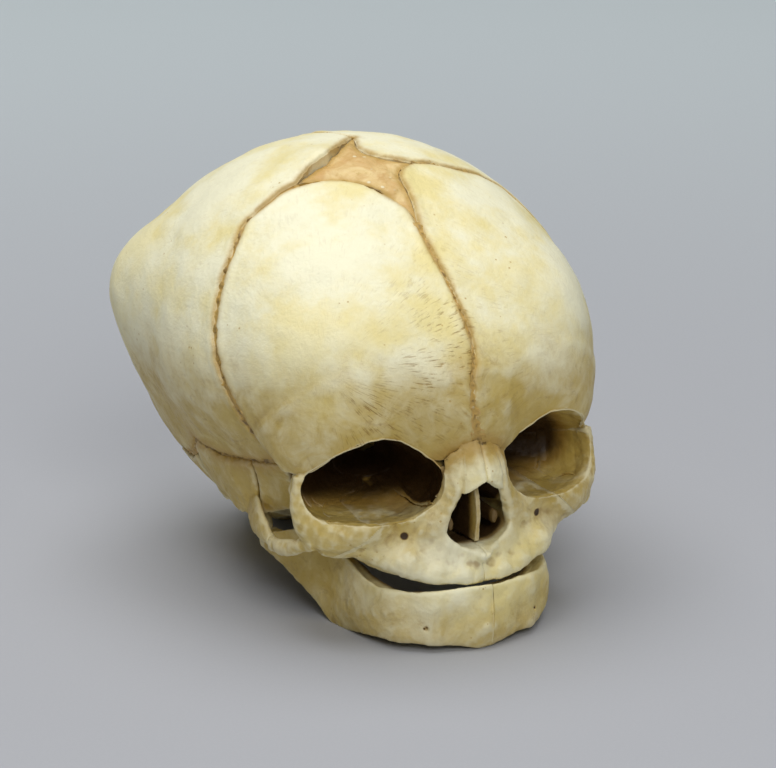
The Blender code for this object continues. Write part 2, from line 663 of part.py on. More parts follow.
def socket(side, round_share, depth_share):
    """Point on the socket wall: the rim drawn in and carried along a line to the apex."""
    rim = rim_points(side)
    centre = rim.mean(axis=0)
    apex = face(*APEX_SHARES, side)
    width = np.interp(depth_share, SOCKET_DEPTH_SHARES, SOCKET_WIDTH_SHARES)
    edge = loop_curve(rim)(round_share)
    middle = centre + np.asarray(depth_share)[..., None] * (apex - centre)
    middle[:, 2] -= SOCKET_SAG_SHARE * FACE_HEIGHT * np.sin(math.pi * np.clip(depth_share, 0, 1))
    return middle[:, None] + (edge - centre)[None] * width[:, None, None]


def socket_plate(name, side, start, end, near, far, thickness, finish, columns, rows):
    """Part of the socket wall as a plate that thickens away from the socket."""
    round_share = np.linspace(start, end, columns)
    depth_share = np.linspace(near, far, rows)
    grid = socket(side, round_share, depth_share)
    middle = grid[rows // 2, columns // 2]
    axis = socket(side, np.linspace(0, 1, 12, endpoint=False), depth_share[rows // 2:rows // 2 + 1])
    inward = axis[0].mean(axis=0)
    return plate(name, grid, thickness, finish, away_from=2 * middle - inward)


def socket_cutter(side):
    depths = np.array(SOCKET_DEPTH_SHARES)
    rings = socket(side, np.linspace(0, 1, 18, endpoint=False), depths)
    cutter = loft("socket_cutter", rings, None, 12, 18, CUTTERS)
    cutter.hide_render = True
    cutter.display_type = "WIRE"
    return cutter


def side_seam(places, side):
    return seam(around(places, side))


def coronal_seam(side):
    if side > 0:
        return side_seam(CORONAL + CORONAL_TOP_LEFT, 1)
    return side_seam(CORONAL + CORONAL_TOP_RIGHT, -1)


def fontanelle_front(side):
    return seam(around(FONTANELLE_FRONT_LEFT if side > 0 else FONTANELLE_FRONT_RIGHT))


def fontanelle_back(side):
    if side > 0:
        return chain(seam(around(FONTANELLE_BACK_LEFT)), fontanelle_corner())
    return seam(around(FONTANELLE_BACK_RIGHT) + [FONTANELLE_BACK_TIP])


def fontanelle_corner():
    return seam(around(FONTANELLE_CORNER_LEFT) + [FONTANELLE_BACK_TIP])


def frontal(side, finish):
    """Frontal bone: a brow plate down to the socket rim, and the roof of the socket."""
    middle, back, crown = seam(around(METOPIC)), coronal_seam(side), fontanelle_front(side)
    rim = rim_points(side)
    brow_points = np.array([face(*share, side) for share in GLABELLA_SHARES] + list(rim[1:7]))
    brow = unit(brow_points - CENTRE)
    low = seam([middle[0]] + list(brow[1:]) + [back[0]])
    edges = [polyline(line) for line in (low, crown, middle, back)]
    directions = unit(coons(*edges, FRONTAL_COLUMNS, FRONTAL_ROWS, SUTURE_GAP / 2 / BRAINCASE_HALF_WIDTH))
    grid = flare_to_rim(on_braincase(directions), directions, brow_points)
    item = plate(f"frontal_{side_name(side)}", grid, PLATE_THICKNESS, finish, CENTRE)
    roof = socket_plate("roof", side, *ROOF_SHARES, THIN_PLATE_THICKNESS, finish, 10, 7)
    return join_solids(item, roof)


def flare_to_rim(grid, directions, rim):
    """Lifts the plate near the brow so that its edge meets the socket rim."""
    rim_direction = unit(rim - CENTRE)
    lift = np.linalg.norm(rim - CENTRE, axis=1) - braincase_radius(rim_direction)
    flat = directions.reshape(-1, 3)
    distance = np.arccos(np.clip(flat @ rim_direction.T, -1, 1)) * BRAINCASE_HALF_WIDTH
    weight = np.exp(-(distance / (RIM_FLARE_REACH / 2))**2) + 1e-9
    wanted = (weight * lift).sum(axis=1) / weight.sum(axis=1)
    fade = np.exp(-(distance.min(axis=1) / RIM_FLARE_REACH)**2)
    shift = (wanted * fade).reshape(grid.shape[:2])
    return grid + shift[..., None] * directions


def side_name(side):
    return "left" if side > 0 else "right"


def parietal(side, finish):
    bottom = chain(side_seam(SQUAMOUS, side), side_seam(PARIETAL_HEEL, side))
    top = seam(around(SAGITTAL) + [FONTANELLE_BACK_TIP])[::-1]
    if side > 0:
        front = chain(coronal_seam(side), seam(around(FONTANELLE_BACK_LEFT)))
        top = chain(fontanelle_corner(), top)
    else:
        front = chain(coronal_seam(side), fontanelle_back(side))
    grid = braincase_grid(bottom, top, front, side_seam(LAMBDOID, side), PARIETAL_COLUMNS, PARIETAL_ROWS,
                          SUTURE_GAP / 2)
    if side < 0:
        grid = grid + crown_corner(unit(grid - CENTRE))
    return plate(f"parietal_{side_name(side)}", grid, PLATE_THICKNESS, finish, CENTRE)


def crown_corner(directions):
    """How far the front corner of the right parietal stands proud, as a bell round its middle."""
    angle = np.degrees(np.arccos(np.clip(directions @ direction(*CROWN_CORNER_PLACE), -1, 1)))
    return (CROWN_CORNER_STEP * np.exp(-(angle / CROWN_CORNER_SPREAD)**2))[..., None] * directions


def occipital(finish):
    half_foot = seam(around(OCCIPITAL_FOOT))
    foot = chain(half_foot, mirrored(half_foot)[::-1])
    heel = seam(around(OCCIPITAL_HEEL))
    lambdoid = side_seam(LAMBDOID, 1)
    side = chain(heel, lambdoid[:-OCCIPITAL_TOP_STEPS])
    top = lambdoid[-OCCIPITAL_TOP_STEPS:]
    grid = braincase_grid(foot, chain(top, mirrored(top)[::-1]), side, mirrored(side),
                          OCCIPITAL_COLUMNS, OCCIPITAL_ROWS, SUTURE_GAP / 2)
    item = plate("occipital_squama", grid, PLATE_THICKNESS, finish, CENTRE)
    return flat_below(item)


def temporal(side, finish):
    edges = [side_seam(edge, side) for edge in SQUAMA_EDGES]
    grid = braincase_grid(*edges, SQUAMA_COLUMNS, SQUAMA_ROWS, SUTURE_GAP / 2)
    item = plate(f"temporal_squama_{side_name(side)}", grid, PLATE_THICKNESS, finish, CENTRE)
    process = bar("process", side, PROCESS_SHARES, PROCESS_HEIGHT_SHARES, PROCESS_WIDTH_SHARES, finish)
    return join_solids(item, process)


def bar(name, side, path_shares, heights, widths, finish, rows=9, columns=8):
    """A flattened bar along a path: height and width are shares of the face height."""
    path = np.array([face(*share, side) for share in path_shares])
    along = unit(np.gradient(path, axis=0))
    upward = np.array([0.0, 0.0, 1.0])
    outward = unit(np.cross(along, upward))
    turn = np.arange(columns) / columns * 2 * math.pi
    rings = []
    for place, out, tall, wide in zip(path, outward, heights, widths):
        ring = (place + np.cos(turn)[:, None] * out * wide * FACE_HEIGHT
                + np.sin(turn)[:, None] * upward * tall * FACE_HEIGHT)
        rings.append(ring)
    return loft(name, rings, finish, rows, columns)


def greater_wing(side, finish):
    edges = [side_seam(edge, side) for edge in WING_EDGES]
    grid = braincase_grid(*edges, WING_COLUMNS, WING_ROWS, SUTURE_GAP / 2)
    item = plate(f"sphenoid_greater_wing_{side_name(side)}", grid, PLATE_THICKNESS, finish, CENTRE)
    wall = socket_plate("wall", side, *WING_WALL_SHARES, PLATE_THICKNESS, finish, 8, 7)
    lateral = on_braincase(edges[0], -PLATE_THICKNESS / 2)
    medial = curve([face(*share, side) for share in WING_ROOT_SHARES])(np.linspace(0, 1, SEAM_STEPS))
    sides = [polyline(line) for line in (
        np.linspace(lateral[0], medial[0], SEAM_STEPS), np.linspace(lateral[-1], medial[-1], SEAM_STEPS),
        lateral, medial)]
    shelf = plate("shelf", coons(*sides, 6, 5, 0), PLATE_THICKNESS, finish, CENTRE)
    foot = bar("foot", side, PTERYGOID_SHARES, PTERYGOID_HEIGHT_SHARES, PTERYGOID_WIDTH_SHARES, finish, 7, 8)
    return join_solids(item, wall, shelf, foot)


def petrous(side, finish):
    edges = [side_seam(edge, side) for edge in MASTOID_EDGES]
    grid = braincase_grid(*edges, MASTOID_COLUMNS, MASTOID_ROWS, SUTURE_GAP / 2)
    item = plate(f"petrous_temporal_{side_name(side)}", grid, PLATE_THICKNESS, finish, CENTRE)
    turn = np.linspace(0, 2 * math.pi, PYRAMID_COLUMNS, endpoint=False)
    level = np.zeros(PYRAMID_COLUMNS)
    rings = []
    for place, tall, wide in PYRAMID_SHARES:
        offset = np.stack([level, np.cos(turn) * wide, np.sin(turn) * tall], axis=1)
        rings.append(face(*place, side) + offset * FACE_HEIGHT)
    pyramid = loft("pyramid", rings, finish, 7, PYRAMID_COLUMNS)
    return join_solids(item, pyramid)


def exoccipital(side, finish):
    medial = seam([below(side * across, back) for across, back in CONDYLE_MEDIAL_SHARES])
    lateral = seam([below(side * across, back) for across, back in CONDYLE_LATERAL_SHARES])
    front = seam([medial[0], lateral[0]])
    across, behind = CONDYLE_BACK_SHARES
    back = seam([medial[-1], below(side * across, behind), lateral[-1]])
    grid = braincase_grid(front, back, medial, lateral, 7, 8, SUTURE_GAP)
    return plate(f"exoccipital_{side_name(side)}", grid, PLATE_THICKNESS, finish, CENTRE)


def block(name, side, stations, finish, rows, columns=10):
    """A rounded block: each station is a centre, a half width and a half height, as shares of the face."""
    turn = (np.arange(columns) + 0.5) / columns * 2 * math.pi
    across = np.sign(np.cos(turn)) * np.abs(np.cos(turn))**BLOCK_POWER
    up = np.sign(np.sin(turn)) * np.abs(np.sin(turn))**BLOCK_POWER
    rings = []
    for (x, y, z), wide, tall in stations:
        middle = face(x, y, z, side)
        ring = middle + np.stack([across * wide * FACE_HALF_WIDTH, np.zeros(columns),
                                  up * tall * FACE_HEIGHT], axis=1)
        rings.append(ring)
    return loft(name, rings, finish, rows, columns)


def cheek_plane(side):
    """Point and normal of the suture between cheekbone and upper jaw."""
    (x0, z0), (x1, z1) = CHEEK_SUTURE_SHARES
    upper, lower = face(x0, 0, z0, side), face(x1, 0, z1, side)
    along = unit(lower - upper)
    normal = unit(np.cross(along, (0.0, 1.0, 0.0)))
    if normal[0] * side < 0:
        normal = -normal
    return upper, normal


def strip_rings(stations, side, columns=8):
    """Rings of a flat strip from its inner edge, outer edge and thickness share."""
    turn = np.arange(columns) / columns * 2 * math.pi
    inner = np.array([face(*station[0], side) for station in stations])
    outer = np.array([face(*station[1], side) for station in stations])
    thick = np.array([station[2] for station in stations]) * FACE_HEIGHT
    along = unit(np.gradient((inner + outer) / 2, axis=0))
    width = outer - inner
    normal = unit(np.cross(along, width))
    middle, half = (inner + outer) / 2, width / 2
    return (middle[:, None] + np.cos(turn)[None, :, None] * half[:, None]
            + np.sin(turn)[None, :, None] * (normal * thick[:, None] / 2)[:, None])


def off_middle(item, side):
    """Cuts the bone back from the middle plane by half a suture."""
    return slice_off(item, (side * SUTURE_GAP / 2, 0, 0), (-side, 0, 0))


def maxilla(side, finish):
    rings = [[face(across, forward, up, side) for forward, up in ring] for across, ring in MAXILLA_SHARES]
    item = loft(f"maxilla_{side_name(side)}", rings, finish, 19, 16)
    wall = loft("wall", strip_rings(NOSE_WALL_SHARES, side), finish, 10, 8)
    floor = socket_plate("floor", side, *FLOOR_SHARES, THIN_PLATE_THICKNESS, finish, 8, 7)
    join_solids(item, wall, floor)
    cutter = socket_cutter(side)
    carve(item, cutter)
    bpy.data.objects.remove(cutter, do_unlink=True)
    keep_largest(item)
    point, normal = cheek_plane(side)
    slice_off(item, point - normal * SUTURE_GAP / 2, normal)
    off_middle(item, side)
    return keep_largest(item)


def nasal(side, finish):
    item = loft(f"nasal_{side_name(side)}", strip_rings(NASAL_SHARES, side), finish, 8, 8)
    return off_middle(item, side)


def zygomatic(side, finish):
    item = loft(f"zygomatic_{side_name(side)}", strip_rings(CHEEK_SHARES, side, 10), finish, 13, 10)
    arch = bar("arch", side, ARCH_SHARES, ARCH_HEIGHT_SHARES, ARCH_WIDTH_SHARES, finish)
    wall = socket_plate("wall", side, *CHEEK_WALL_SHARES, THIN_PLATE_THICKNESS, finish, 9, 5)
    join_solids(item, arch, wall)
    cutter = socket_cutter(side)
    carve(item, cutter)
    bpy.data.objects.remove(cutter, do_unlink=True)
    keep_largest(item)
    point, normal = cheek_plane(side)
    slice_off(item, point + normal * SUTURE_GAP / 2, -normal)
    return keep_largest(item)


def mandible(side, finish):
    outer = np.array([face(x, y, 0, side) for (x, y), _, _, _, _ in JAW_SHARES])
    along = unit(np.gradient(outer, axis=0))
    outward = unit(np.cross(along, (0.0, 0.0, 1.0)))
    if outward[3][0] * side < 0:
        outward = -outward
    rings = []
    for place, out, (_, low, high, lean, thick) in zip(outer, outward, JAW_SHARES):
        ring = []
        for share, up in JAW_SECTION_SHARES:
            height = low + (high - low) * up
            ring.append(place + out * (share * thick * JAW_THICKNESS + lean * up * FACE_HALF_WIDTH)
                        + np.array([0.0, 0.0, height * FACE_HEIGHT]))
        rings.append(ring)
    item = loft(f"mandible_{side_name(side)}", rings, finish, 22, 12)
    slice_off(item, (JAW_SEAM_OFFSET + side * SUTURE_GAP / 2, 0, 0), (-side, 0, 0))
    return flat_below(item)


def septum(finish):
    points = np.array([face(0, forward, up) for forward, up in SEPTUM_SHARES])
    half = np.array([SEPTUM_THICKNESS / 2, 0.0, 0.0])
    count = len(points)
    vertices = list(points - half) + list(points + half)
    faces = [tuple(range(count)), tuple(reversed(range(count, 2 * count)))]
    for index in range(count):
        following = (index + 1) % count
        faces.append((index, count + index, count + following, following))
    return keep_largest(new_object("vomer", vertices, faces, finish))


def ear_ring(side, finish):
    """An open ring below the ear opening."""
    line = bpy.data.curves.new("ring", "CURVE")
    line.dimensions = "3D"
    line.bevel_depth = EAR_RING_BAR
    line.bevel_resolution = 1
    line.use_fill_caps = True
    spline = line.splines.new("POLY")
    turn = np.radians(np.linspace(*EAR_RING_TURN, EAR_RING_STEPS))
    points = face(*EAR_RING_PLACE_SHARES, side) + EAR_RING_RADIUS * np.stack(
        [side * EAR_RING_SLANT_SHARE * np.sin(turn), np.cos(turn), np.sin(turn)], axis=1)
    spline.points.add(len(points) - 1)
    for place, point in zip(spline.points, points):
        place.co = (*point, 1.0)
    item = bpy.data.objects.new("ring", line)
    SKULL.objects.link(item)
    bpy.context.view_layer.update()
    mesh = bpy.data.meshes.new_from_object(item.evaluated_get(bpy.context.evaluated_depsgraph_get()))
    bpy.data.objects.remove(item, do_unlink=True)
    ring = bpy.data.objects.new(f"tympanic_ring_{side_name(side)}", mesh)
    SKULL.objects.link(ring)
    mesh.materials.clear()
    mesh.materials.append(finish)
    return keep_largest(ring)


def fontanelle(finish):
    """Membrane in the star-shaped gap at the crown, a little below the bone surface."""
    grid = braincase_grid(fontanelle_front(1), fontanelle_back(-1), fontanelle_front(-1), fontanelle_back(1),
                          10, 10, NEIGHBOUR_GAP, -MEMBRANE_RECESS)
    return plate("anterior_fontanelle_membrane", grid, MEMBRANE_THICKNESS, finish, CENTRE)


def side_bones(bone, deep):
    """The left bones that have a mirrored twin, each cut clear of its neighbours."""
    side = 1
    jaw = maxilla(side, bone)
    cheek = make_room(zygomatic(side, bone), jaw)
    nose = make_room(nasal(side, bone), jaw)
    wing = make_room(greater_wing(side, bone), cheek, jaw)
    ear = make_room(temporal(side, bone), cheek, wing)
    rock = make_room(petrous(side, deep), ear, wing)
    condyle = make_room(exoccipital(side, bone), rock)
    ring = make_room(ear_ring(side, bone), rock, ear)
    tear = socket_plate("lacrimal_left", side, *LACRIMAL_SHARES, LEAF_THICKNESS, deep, 6, 4)
    make_room(tear, jaw)
    wall = socket_plate("ethmoid_left", side, *ETHMOID_SHARES, LEAF_THICKNESS, deep, 7, 7)
    make_room(wall, jaw, tear)
    shelf = block("palatine_left", side, PALATINE_SHARES, deep, 3)
    make_room(shelf, jaw)
    scroll = bar("inferior_concha_left", side, CONCHA_SHARES, CONCHA_HEIGHT_SHARES, CONCHA_WIDTH_SHARES, deep, 6)
    make_room(scroll, jaw, wall)
    return [jaw, cheek, nose, wing, ear, rock, condyle, ring, tear, wall, shelf, scroll]


def build():
    bone = material("cream bone", BONE_COLOUR, 0.55)
    vault = material("pale vault bone", VAULT_COLOUR, 0.5)
    deep = material("stained deep bone", DEEP_COLOUR, 0.65)
    membrane = material("dried membrane", MEMBRANE_COLOUR, 0.6)
    made = {}

    def keep(*items):
        for item in items:
            made[item.name] = item
        return items[0]

    left = side_bones(bone, deep)
    keep(*left)
    keep(*[mirror_copy(item) for item in left])
    for side in (1, -1):
        name = side_name(side)
        keep(parietal(side, vault))
        beside = [made[f"{other}_{name}"] for other in FRONTAL_NEIGHBOURS]
        keep(make_room(frontal(side, vault), *beside, made[f"nasal_{side_name(-side)}"]))
        keep(mandible(side, bone))
    make_room(made["parietal_right"], made["parietal_left"])
    back = keep(occipital(vault))
    for name in ("left", "right"):
        make_room(made[f"exoccipital_{name}"], back)
    make_room(keep(septum(deep)), made["nasal_left"], made["nasal_right"])
    rocks = (made["petrous_temporal_left"], made["petrous_temporal_right"])
    base = keep(block("basioccipital", 1, BASIOCCIPITAL_SHARES, bone, 5))
    core = keep(block("sphenoid_body", 1, SPHENOID_SHARES, deep, 6))
    make_room(base, *rocks)
    make_room(core, base, *rocks, made["sphenoid_greater_wing_left"], made["sphenoid_greater_wing_right"])
    cover = keep(fontanelle(membrane))
    make_room(cover, *[made[f"{bone_name}_{name}"] for bone_name in ("frontal", "parietal")
                       for name in ("left", "right")])
    return made


def stand_on_floor(made):
    """Puts the origin under the middle of the whole skull, on the surface that it rests on."""
    corners = []
    for item in made.values():
        corners += [vertex.co[:] for vertex in item.data.vertices]
    corners = np.array(corners)
    middle = (corners.min(axis=0) + corners.max(axis=0)) / 2
    shift = Matrix.Translation((-middle[0], -middle[1], -corners[:, 2].min()))
    for item in made.values():
        item.data.transform(shift)
    return shift


def hinge_jaw(made, shift):
    """Hangs both halves of the lower jaw on an empty that stands on their hinge axis."""
    axis = bpy.data.objects.new("jaw_hinge_axis", None)
    SKULL.objects.link(axis)
    axis.location = shift @ Vector(face(*HINGE_SHARES))
    bpy.context.view_layer.update()
    for side in (1, -1):
        half = made[f"mandible_{side_name(side)}"]
        half.parent = axis
        half.matrix_parent_inverse = axis.matrix_world.inverted()


made = build()
PLACED = stand_on_floor(made)
hinge_jaw(made, PLACED)
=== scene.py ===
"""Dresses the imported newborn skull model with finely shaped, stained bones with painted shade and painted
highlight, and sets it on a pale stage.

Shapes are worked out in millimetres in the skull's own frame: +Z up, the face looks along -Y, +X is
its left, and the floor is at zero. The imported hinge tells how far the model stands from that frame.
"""
import json
import math

import bmesh
import bpy
import numpy as np
from mathutils import Matrix, Vector


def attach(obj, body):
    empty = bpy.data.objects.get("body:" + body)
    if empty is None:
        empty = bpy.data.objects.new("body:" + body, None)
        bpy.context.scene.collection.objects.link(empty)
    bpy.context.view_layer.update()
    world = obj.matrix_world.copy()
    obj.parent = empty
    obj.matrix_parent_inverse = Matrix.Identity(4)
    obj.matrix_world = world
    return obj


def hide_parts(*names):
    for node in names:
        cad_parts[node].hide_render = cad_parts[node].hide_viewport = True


bl_info = {
    "name": "Newborn skull",
    "version": (1, 0, 0),
    "blender": (4, 5, 0),
    "location": "View3D > Sidebar > Skull",
    "description": "Finely shaped and stained bones for the packed newborn skull",
    "category": "Object",
}

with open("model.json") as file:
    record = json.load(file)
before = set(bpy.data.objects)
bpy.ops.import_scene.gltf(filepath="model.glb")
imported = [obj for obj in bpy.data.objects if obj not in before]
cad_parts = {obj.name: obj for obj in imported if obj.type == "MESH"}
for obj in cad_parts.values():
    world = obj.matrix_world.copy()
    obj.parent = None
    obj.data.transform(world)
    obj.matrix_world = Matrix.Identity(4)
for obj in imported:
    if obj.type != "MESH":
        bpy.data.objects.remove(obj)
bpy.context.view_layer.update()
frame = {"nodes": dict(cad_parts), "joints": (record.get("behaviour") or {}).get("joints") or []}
MM = 0.001
HINGE_BACK = -6.8
PLACE = np.array([0.0, frame["joints"][0]["pos_m"][1] / MM - HINGE_BACK, 0.0])

# The camera that was fitted to the photograph
PHOTO_WIDTH = 776
CAMERA_AZIMUTH = -27.8
CAMERA_ELEVATION = 17.3
CAMERA_DISTANCE = 712.0
CAMERA_TARGET = (0.0, -5.0, 45.0)
CAMERA_LENS = 152.7
CAMERA_SHIFT = (4.8, -1.5)

SIDES = (1, -1)
SHARP_EDGE = math.radians(55)
WELD_DISTANCE = 0.00001
CUT_TOLERANCE = 0.000001

# The stage's paper in metres: how far it reaches, where it starts to rise, and how steeply
SWEEP_REACH = 2.6
SWEEP_FRONT = 1.6
SWEEP_BEND = 1.0
SWEEP_CURVE = 0.9
SWEEP_ROWS = 90
SWEEP_COLUMNS = 12

# The egg of the braincase: half axes, centre, then swellings by height, azimuth, elevation, spread
HALF_WIDTH = 49.5
FRONT_REACH = 50.0
BACK_REACH = 54.5
TOP_REACH = 46.5
BASE_REACH = 40.5
CENTRE = np.array([0.0, 10.0, 50.0])
BOSSES = (
    (5.3, 122, 16, 14.5),
    (7.0, 33, 10.5, 24.5),
    (7.0, 0, -2, 22.5),
    (-2.0, 0, 56, 29),
    (-5.7, 98.5, -16, 23.5),
    (18.4, 180, -51, 20),
    (-2.5, 180, -5.5, 29.5),
    (-5.0, 65, -24, 19),
)
FACE_BOX = np.array([40.0, -50.0, 50.0])


# Curves and noise

def unit(vectors):
    vectors = np.asarray(vectors, float)
    return vectors / np.linalg.norm(vectors, axis=-1, keepdims=True)


def smooth_step(value, low, high):
    """0 below low, 1 above high, and 3t^2 - 2t^3 between."""
    t = np.clip((value - low) / (high - low), 0, 1)
    return t * t * (3 - 2 * t)


def hermite(points, knots, share):
    """Cubic through the points, whose slope at each point is the mean slope of its neighbours."""
    flat = points.reshape(len(points), -1)
    slopes = np.gradient(flat, knots, axis=0) if len(points) > 2 else np.tile(flat[1] - flat[0], (2, 1))
    index = np.clip(np.searchsorted(knots, share, side="right") - 1, 0, len(knots) - 2)
    span = (knots[index + 1] - knots[index])[:, None]
    t = (share - knots[index])[:, None] / span
    made = ((2 * t**3 - 3 * t**2 + 1) * flat[index] + (t**3 - 2 * t**2 + t) * span * slopes[index]
            + (3 * t**2 - 2 * t**3) * flat[index + 1] + (t**3 - t**2) * span * slopes[index + 1])
    return made.reshape((len(share),) + points.shape[1:])


def arc_knots(points):
    steps = np.linalg.norm(np.diff(points, axis=0), axis=1)
    return np.concatenate([[0.0], np.cumsum(steps)]) / steps.sum()


def curve(points, share):
    points = np.array(points, float)
    return hermite(points, arc_knots(points), np.asarray(share, float))


def loop(points, share):
    """Closed Catmull-Rom curve through the points; whole shares fall on them."""
    points = np.asarray(points, float)
    count = len(points)
    place = np.asarray(share, float) % 1.0 * count
    index = place.astype(int) % count
    t = (place - np.floor(place))[:, None]
    before, start = points[index - 1], points[index]
    end, after = points[(index + 1) % count], points[(index + 2) % count]
    return start + 0.5 * t * (end - before + t * (2 * before - 5 * start + 4 * end - after
                                                  + t * (3 * (start - end) + after - before)))


def walk(points, share):
    """Point at a share of the length of a line of close points; share may be a whole grid."""
    points = np.asarray(points, float)
    knots = arc_knots(points)
    return np.stack([np.interp(share, knots, points[:, axis]) for axis in range(3)], axis=-1)


def ripple(points, wavelength, seed, waves=26):
    """Smooth noise of about -1 to 1: the sum of plane waves of one wavelength in seeded directions."""
    rng = np.random.default_rng(seed)
    heading = unit(rng.normal(size=(waves, 3)))
    turn = heading * 2 * math.pi / (wavelength * rng.uniform(0.75, 1.35, (waves, 1)))
    phase = rng.uniform(0, 2 * math.pi, waves)
    total = np.zeros(points.shape[:-1])
    for wave, offset in zip(turn, phase):
        total += np.cos(points @ wave + offset)
    return total / math.sqrt(waves)


def least_distance(points, posts):
    """Distance to the nearest post: the root of |p|^2 - 2 p.q + |q|^2, in batches of points."""
    best = np.empty(len(points))
    for start in range(0, len(points), 20000):
        batch = points[start:start + 20000]
        square = (batch**2).sum(axis=1)[:, None] - 2 * batch @ posts.T + (posts**2).sum(axis=1)
        best[start:start + 20000] = square.min(axis=1)
    return np.sqrt(np.maximum(best, 0))


def nearest(points, line, reach=4.0):
    """Distance from each point to a line of close points, exact only within the reach."""
    flat, posts = points.reshape(-1, 3) - line[0], line - line[0]
    away = least_distance(flat, posts[::8])
    slack = 8 * np.linalg.norm(np.diff(posts, axis=0), axis=1)
    close = away < reach + np.percentile(slack, 90)
    away[close] = least_distance(flat[close], posts)
    return away.reshape(points.shape[:-1])


# The braincase surface and its seams

def direction(azimuth, elevation):
    a, e = np.radians(azimuth), np.radians(elevation)
    return np.stack([np.sin(a) * np.cos(e), -np.cos(a) * np.cos(e), np.sin(e)], axis=-1)


def leaning(side_share, back_share):
    """Unit vector near the crown, from how far it leans sideways and back."""
    return np.array([side_share, back_share, math.sqrt(1 - side_share**2 - back_share**2)])


def braincase_radius(directions):
    """Egg r = 1/sqrt(sum of (d/half axis)^2), plus height * exp(-(angle/spread)^2) for each swelling."""
    x, y, z = directions[..., 0], directions[..., 1], directions[..., 2]
    along = np.where(y < 0, FRONT_REACH, BACK_REACH)
    upright = np.where(z > 0, TOP_REACH, BASE_REACH)
    radius = 1 / np.sqrt((x / HALF_WIDTH)**2 + (y / along)**2 + (z / upright)**2)
    for height, azimuth, elevation, spread in BOSSES:
        for side in ((1,) if azimuth in (0, 180) else SIDES):
            angle = np.degrees(np.arccos(np.clip(directions @ direction(side * azimuth, elevation), -1, 1)))
            radius = radius + height * np.exp(-(angle / spread)**2)
    return radius


def on_braincase(directions, raised=0.0):
    directions = unit(directions)
    return CENTRE + (braincase_radius(directions) + raised)[..., None] * directions


def around(places, side=1):
    return [direction(side * azimuth, elevation) for azimuth, elevation in places]


def seam(points, steps=160):
    return unit(curve(points, np.linspace(0, 1, steps)))


def chain(*seams):
    return np.concatenate([seams[0]] + [following[1:] for following in seams[1:]])


def mirrored(points):
    return np.array(points) * (-1, 1, 1)


# Seams as azimuth and elevation in degrees, on the left side where both sides are alike
METOPIC = ((0.3, -6.6), (-1.6, 0), (-1.8, 6), (0.2, 14), (0.2, 20), (0, 26), (-0.5, 32), (-1.0, 40),
           (0, 48.5))
CORONAL = ((44, -13.5), (46.5, -10.6), (51, -7.5), (54, -3), (56.5, 1.5), (59, 6), (61, 10.7), (64, 20),
           (66, 31), (67, 39), (68.5, 45), (66, 51))
CORONAL_TOP_LEFT = ((52, 62), (45, 66), (31.5, 70.3))
CORONAL_TOP_RIGHT = ((63, 57), (58, 61.6))
FONTANELLE_FRONT_LEFT = ((0, 48.5), (3, 56), (5.7, 62.4), (7.2, 66.0), (14, 69.3), (31.5, 70.3))
FONTANELLE_FRONT_RIGHT = ((0, 48.5), (-1.1, 53.7), (-4.3, 57), (-10.2, 60.6), (-17.7, 63.8), (-27, 65.8),
                          (-37, 66.2), (-58, 61.6))
FONTANELLE_BACK_LEFT = ((31.5, 70.3), (19.5, 74.6), (2.8, 78.5))
FONTANELLE_CORNER_LEFT = ((2.8, 78.5), (-6.6, 82))
FONTANELLE_BACK_RIGHT = ((-58, 61.6), (-57, 66.5), (-52.4, 73.1), (-50.5, 79.4))
SQUAMOUS = ((44, -13.5), (54, -18.5), (68, -24), (80, -24.5), (88.5, -22.5))
PARIETAL_HEEL = ((88.5, -22.5), (97, -29), (108, -32), (118, -30))
LAMBDOID = ((118, -30), (128, -21), (140, -12), (150, -2), (160, 6), (171, 12), (180, 17))
SAGITTAL = ((180, 17), (179, 30), (181, 48), (179.5, 66), (178, 80))
OCCIPITAL_FOOT = ((131, -47), (150, -55.5), (166, -60), (180, -61))
OCCIPITAL_SIDE = ((131, -47), (124, -38), (118, -30))
# Plates at the temple: their bottom, top, front and back edges
TEMPORAL_EDGES = (
    ((60, -39), (68, -41.5), (80, -46), (95, -46)),
    ((59.5, -21.5), (68, -24.3), (80, -24.8), (88.5, -22.8), (92.5, -25.8)),
    ((60, -39), (59.5, -32), (59.5, -21.5)),
    ((95, -46), (94.5, -35), (92.5, -25.8)),
)
WING_EDGES = (
    ((43.5, -34), (51, -36.5), (59.2, -38.5)),
    ((43.5, -14.5), (51, -17.8), (58.8, -21.3)),
    ((43.5, -34), (43, -25), (43.5, -14.5)),
    ((59.2, -38.5), (58.8, -32), (58.8, -21.3)),
)
# The middle seam ends just behind the crown, a little to the left
BACK_TIP = leaning(0.033, 0.043)
# The side wall under the squamous seam swells towards the cheek arch: azimuth, elevation, height, spread
TEMPLE_SWELL = (60, -44, 5.0, 15.0)
# The front corner of the right parietal stands a little proud: where, how high, and how far it spreads
CROWN_CORNER = (direction(-52.5, 74), 1.6, 12.0)

SIDE_CORONAL = {1: seam(around(CORONAL + CORONAL_TOP_LEFT)),
                -1: seam(around(CORONAL + CORONAL_TOP_RIGHT, -1))}
CROWN_FRONT = {1: seam(around(FONTANELLE_FRONT_LEFT)), -1: seam(around(FONTANELLE_FRONT_RIGHT))}
LEFT_CORNER = seam(around(FONTANELLE_CORNER_LEFT) + [BACK_TIP], 40)
LEFT_BACK = seam(around(FONTANELLE_BACK_LEFT))
CROWN_BACK = {1: chain(LEFT_BACK, LEFT_CORNER), -1: seam(around(FONTANELLE_BACK_RIGHT) + [BACK_TIP])}
MIDDLE_FRONT = seam(around(METOPIC))
MIDDLE_TOP = seam(around(SAGITTAL) + [BACK_TIP])


def side_seam(places, side):
    return seam(around(places, side))


# The face: points as shares of its box, and the eye socket

def face(across, forward, up, side=1):
    return np.array([side * across, forward, up]) * FACE_BOX


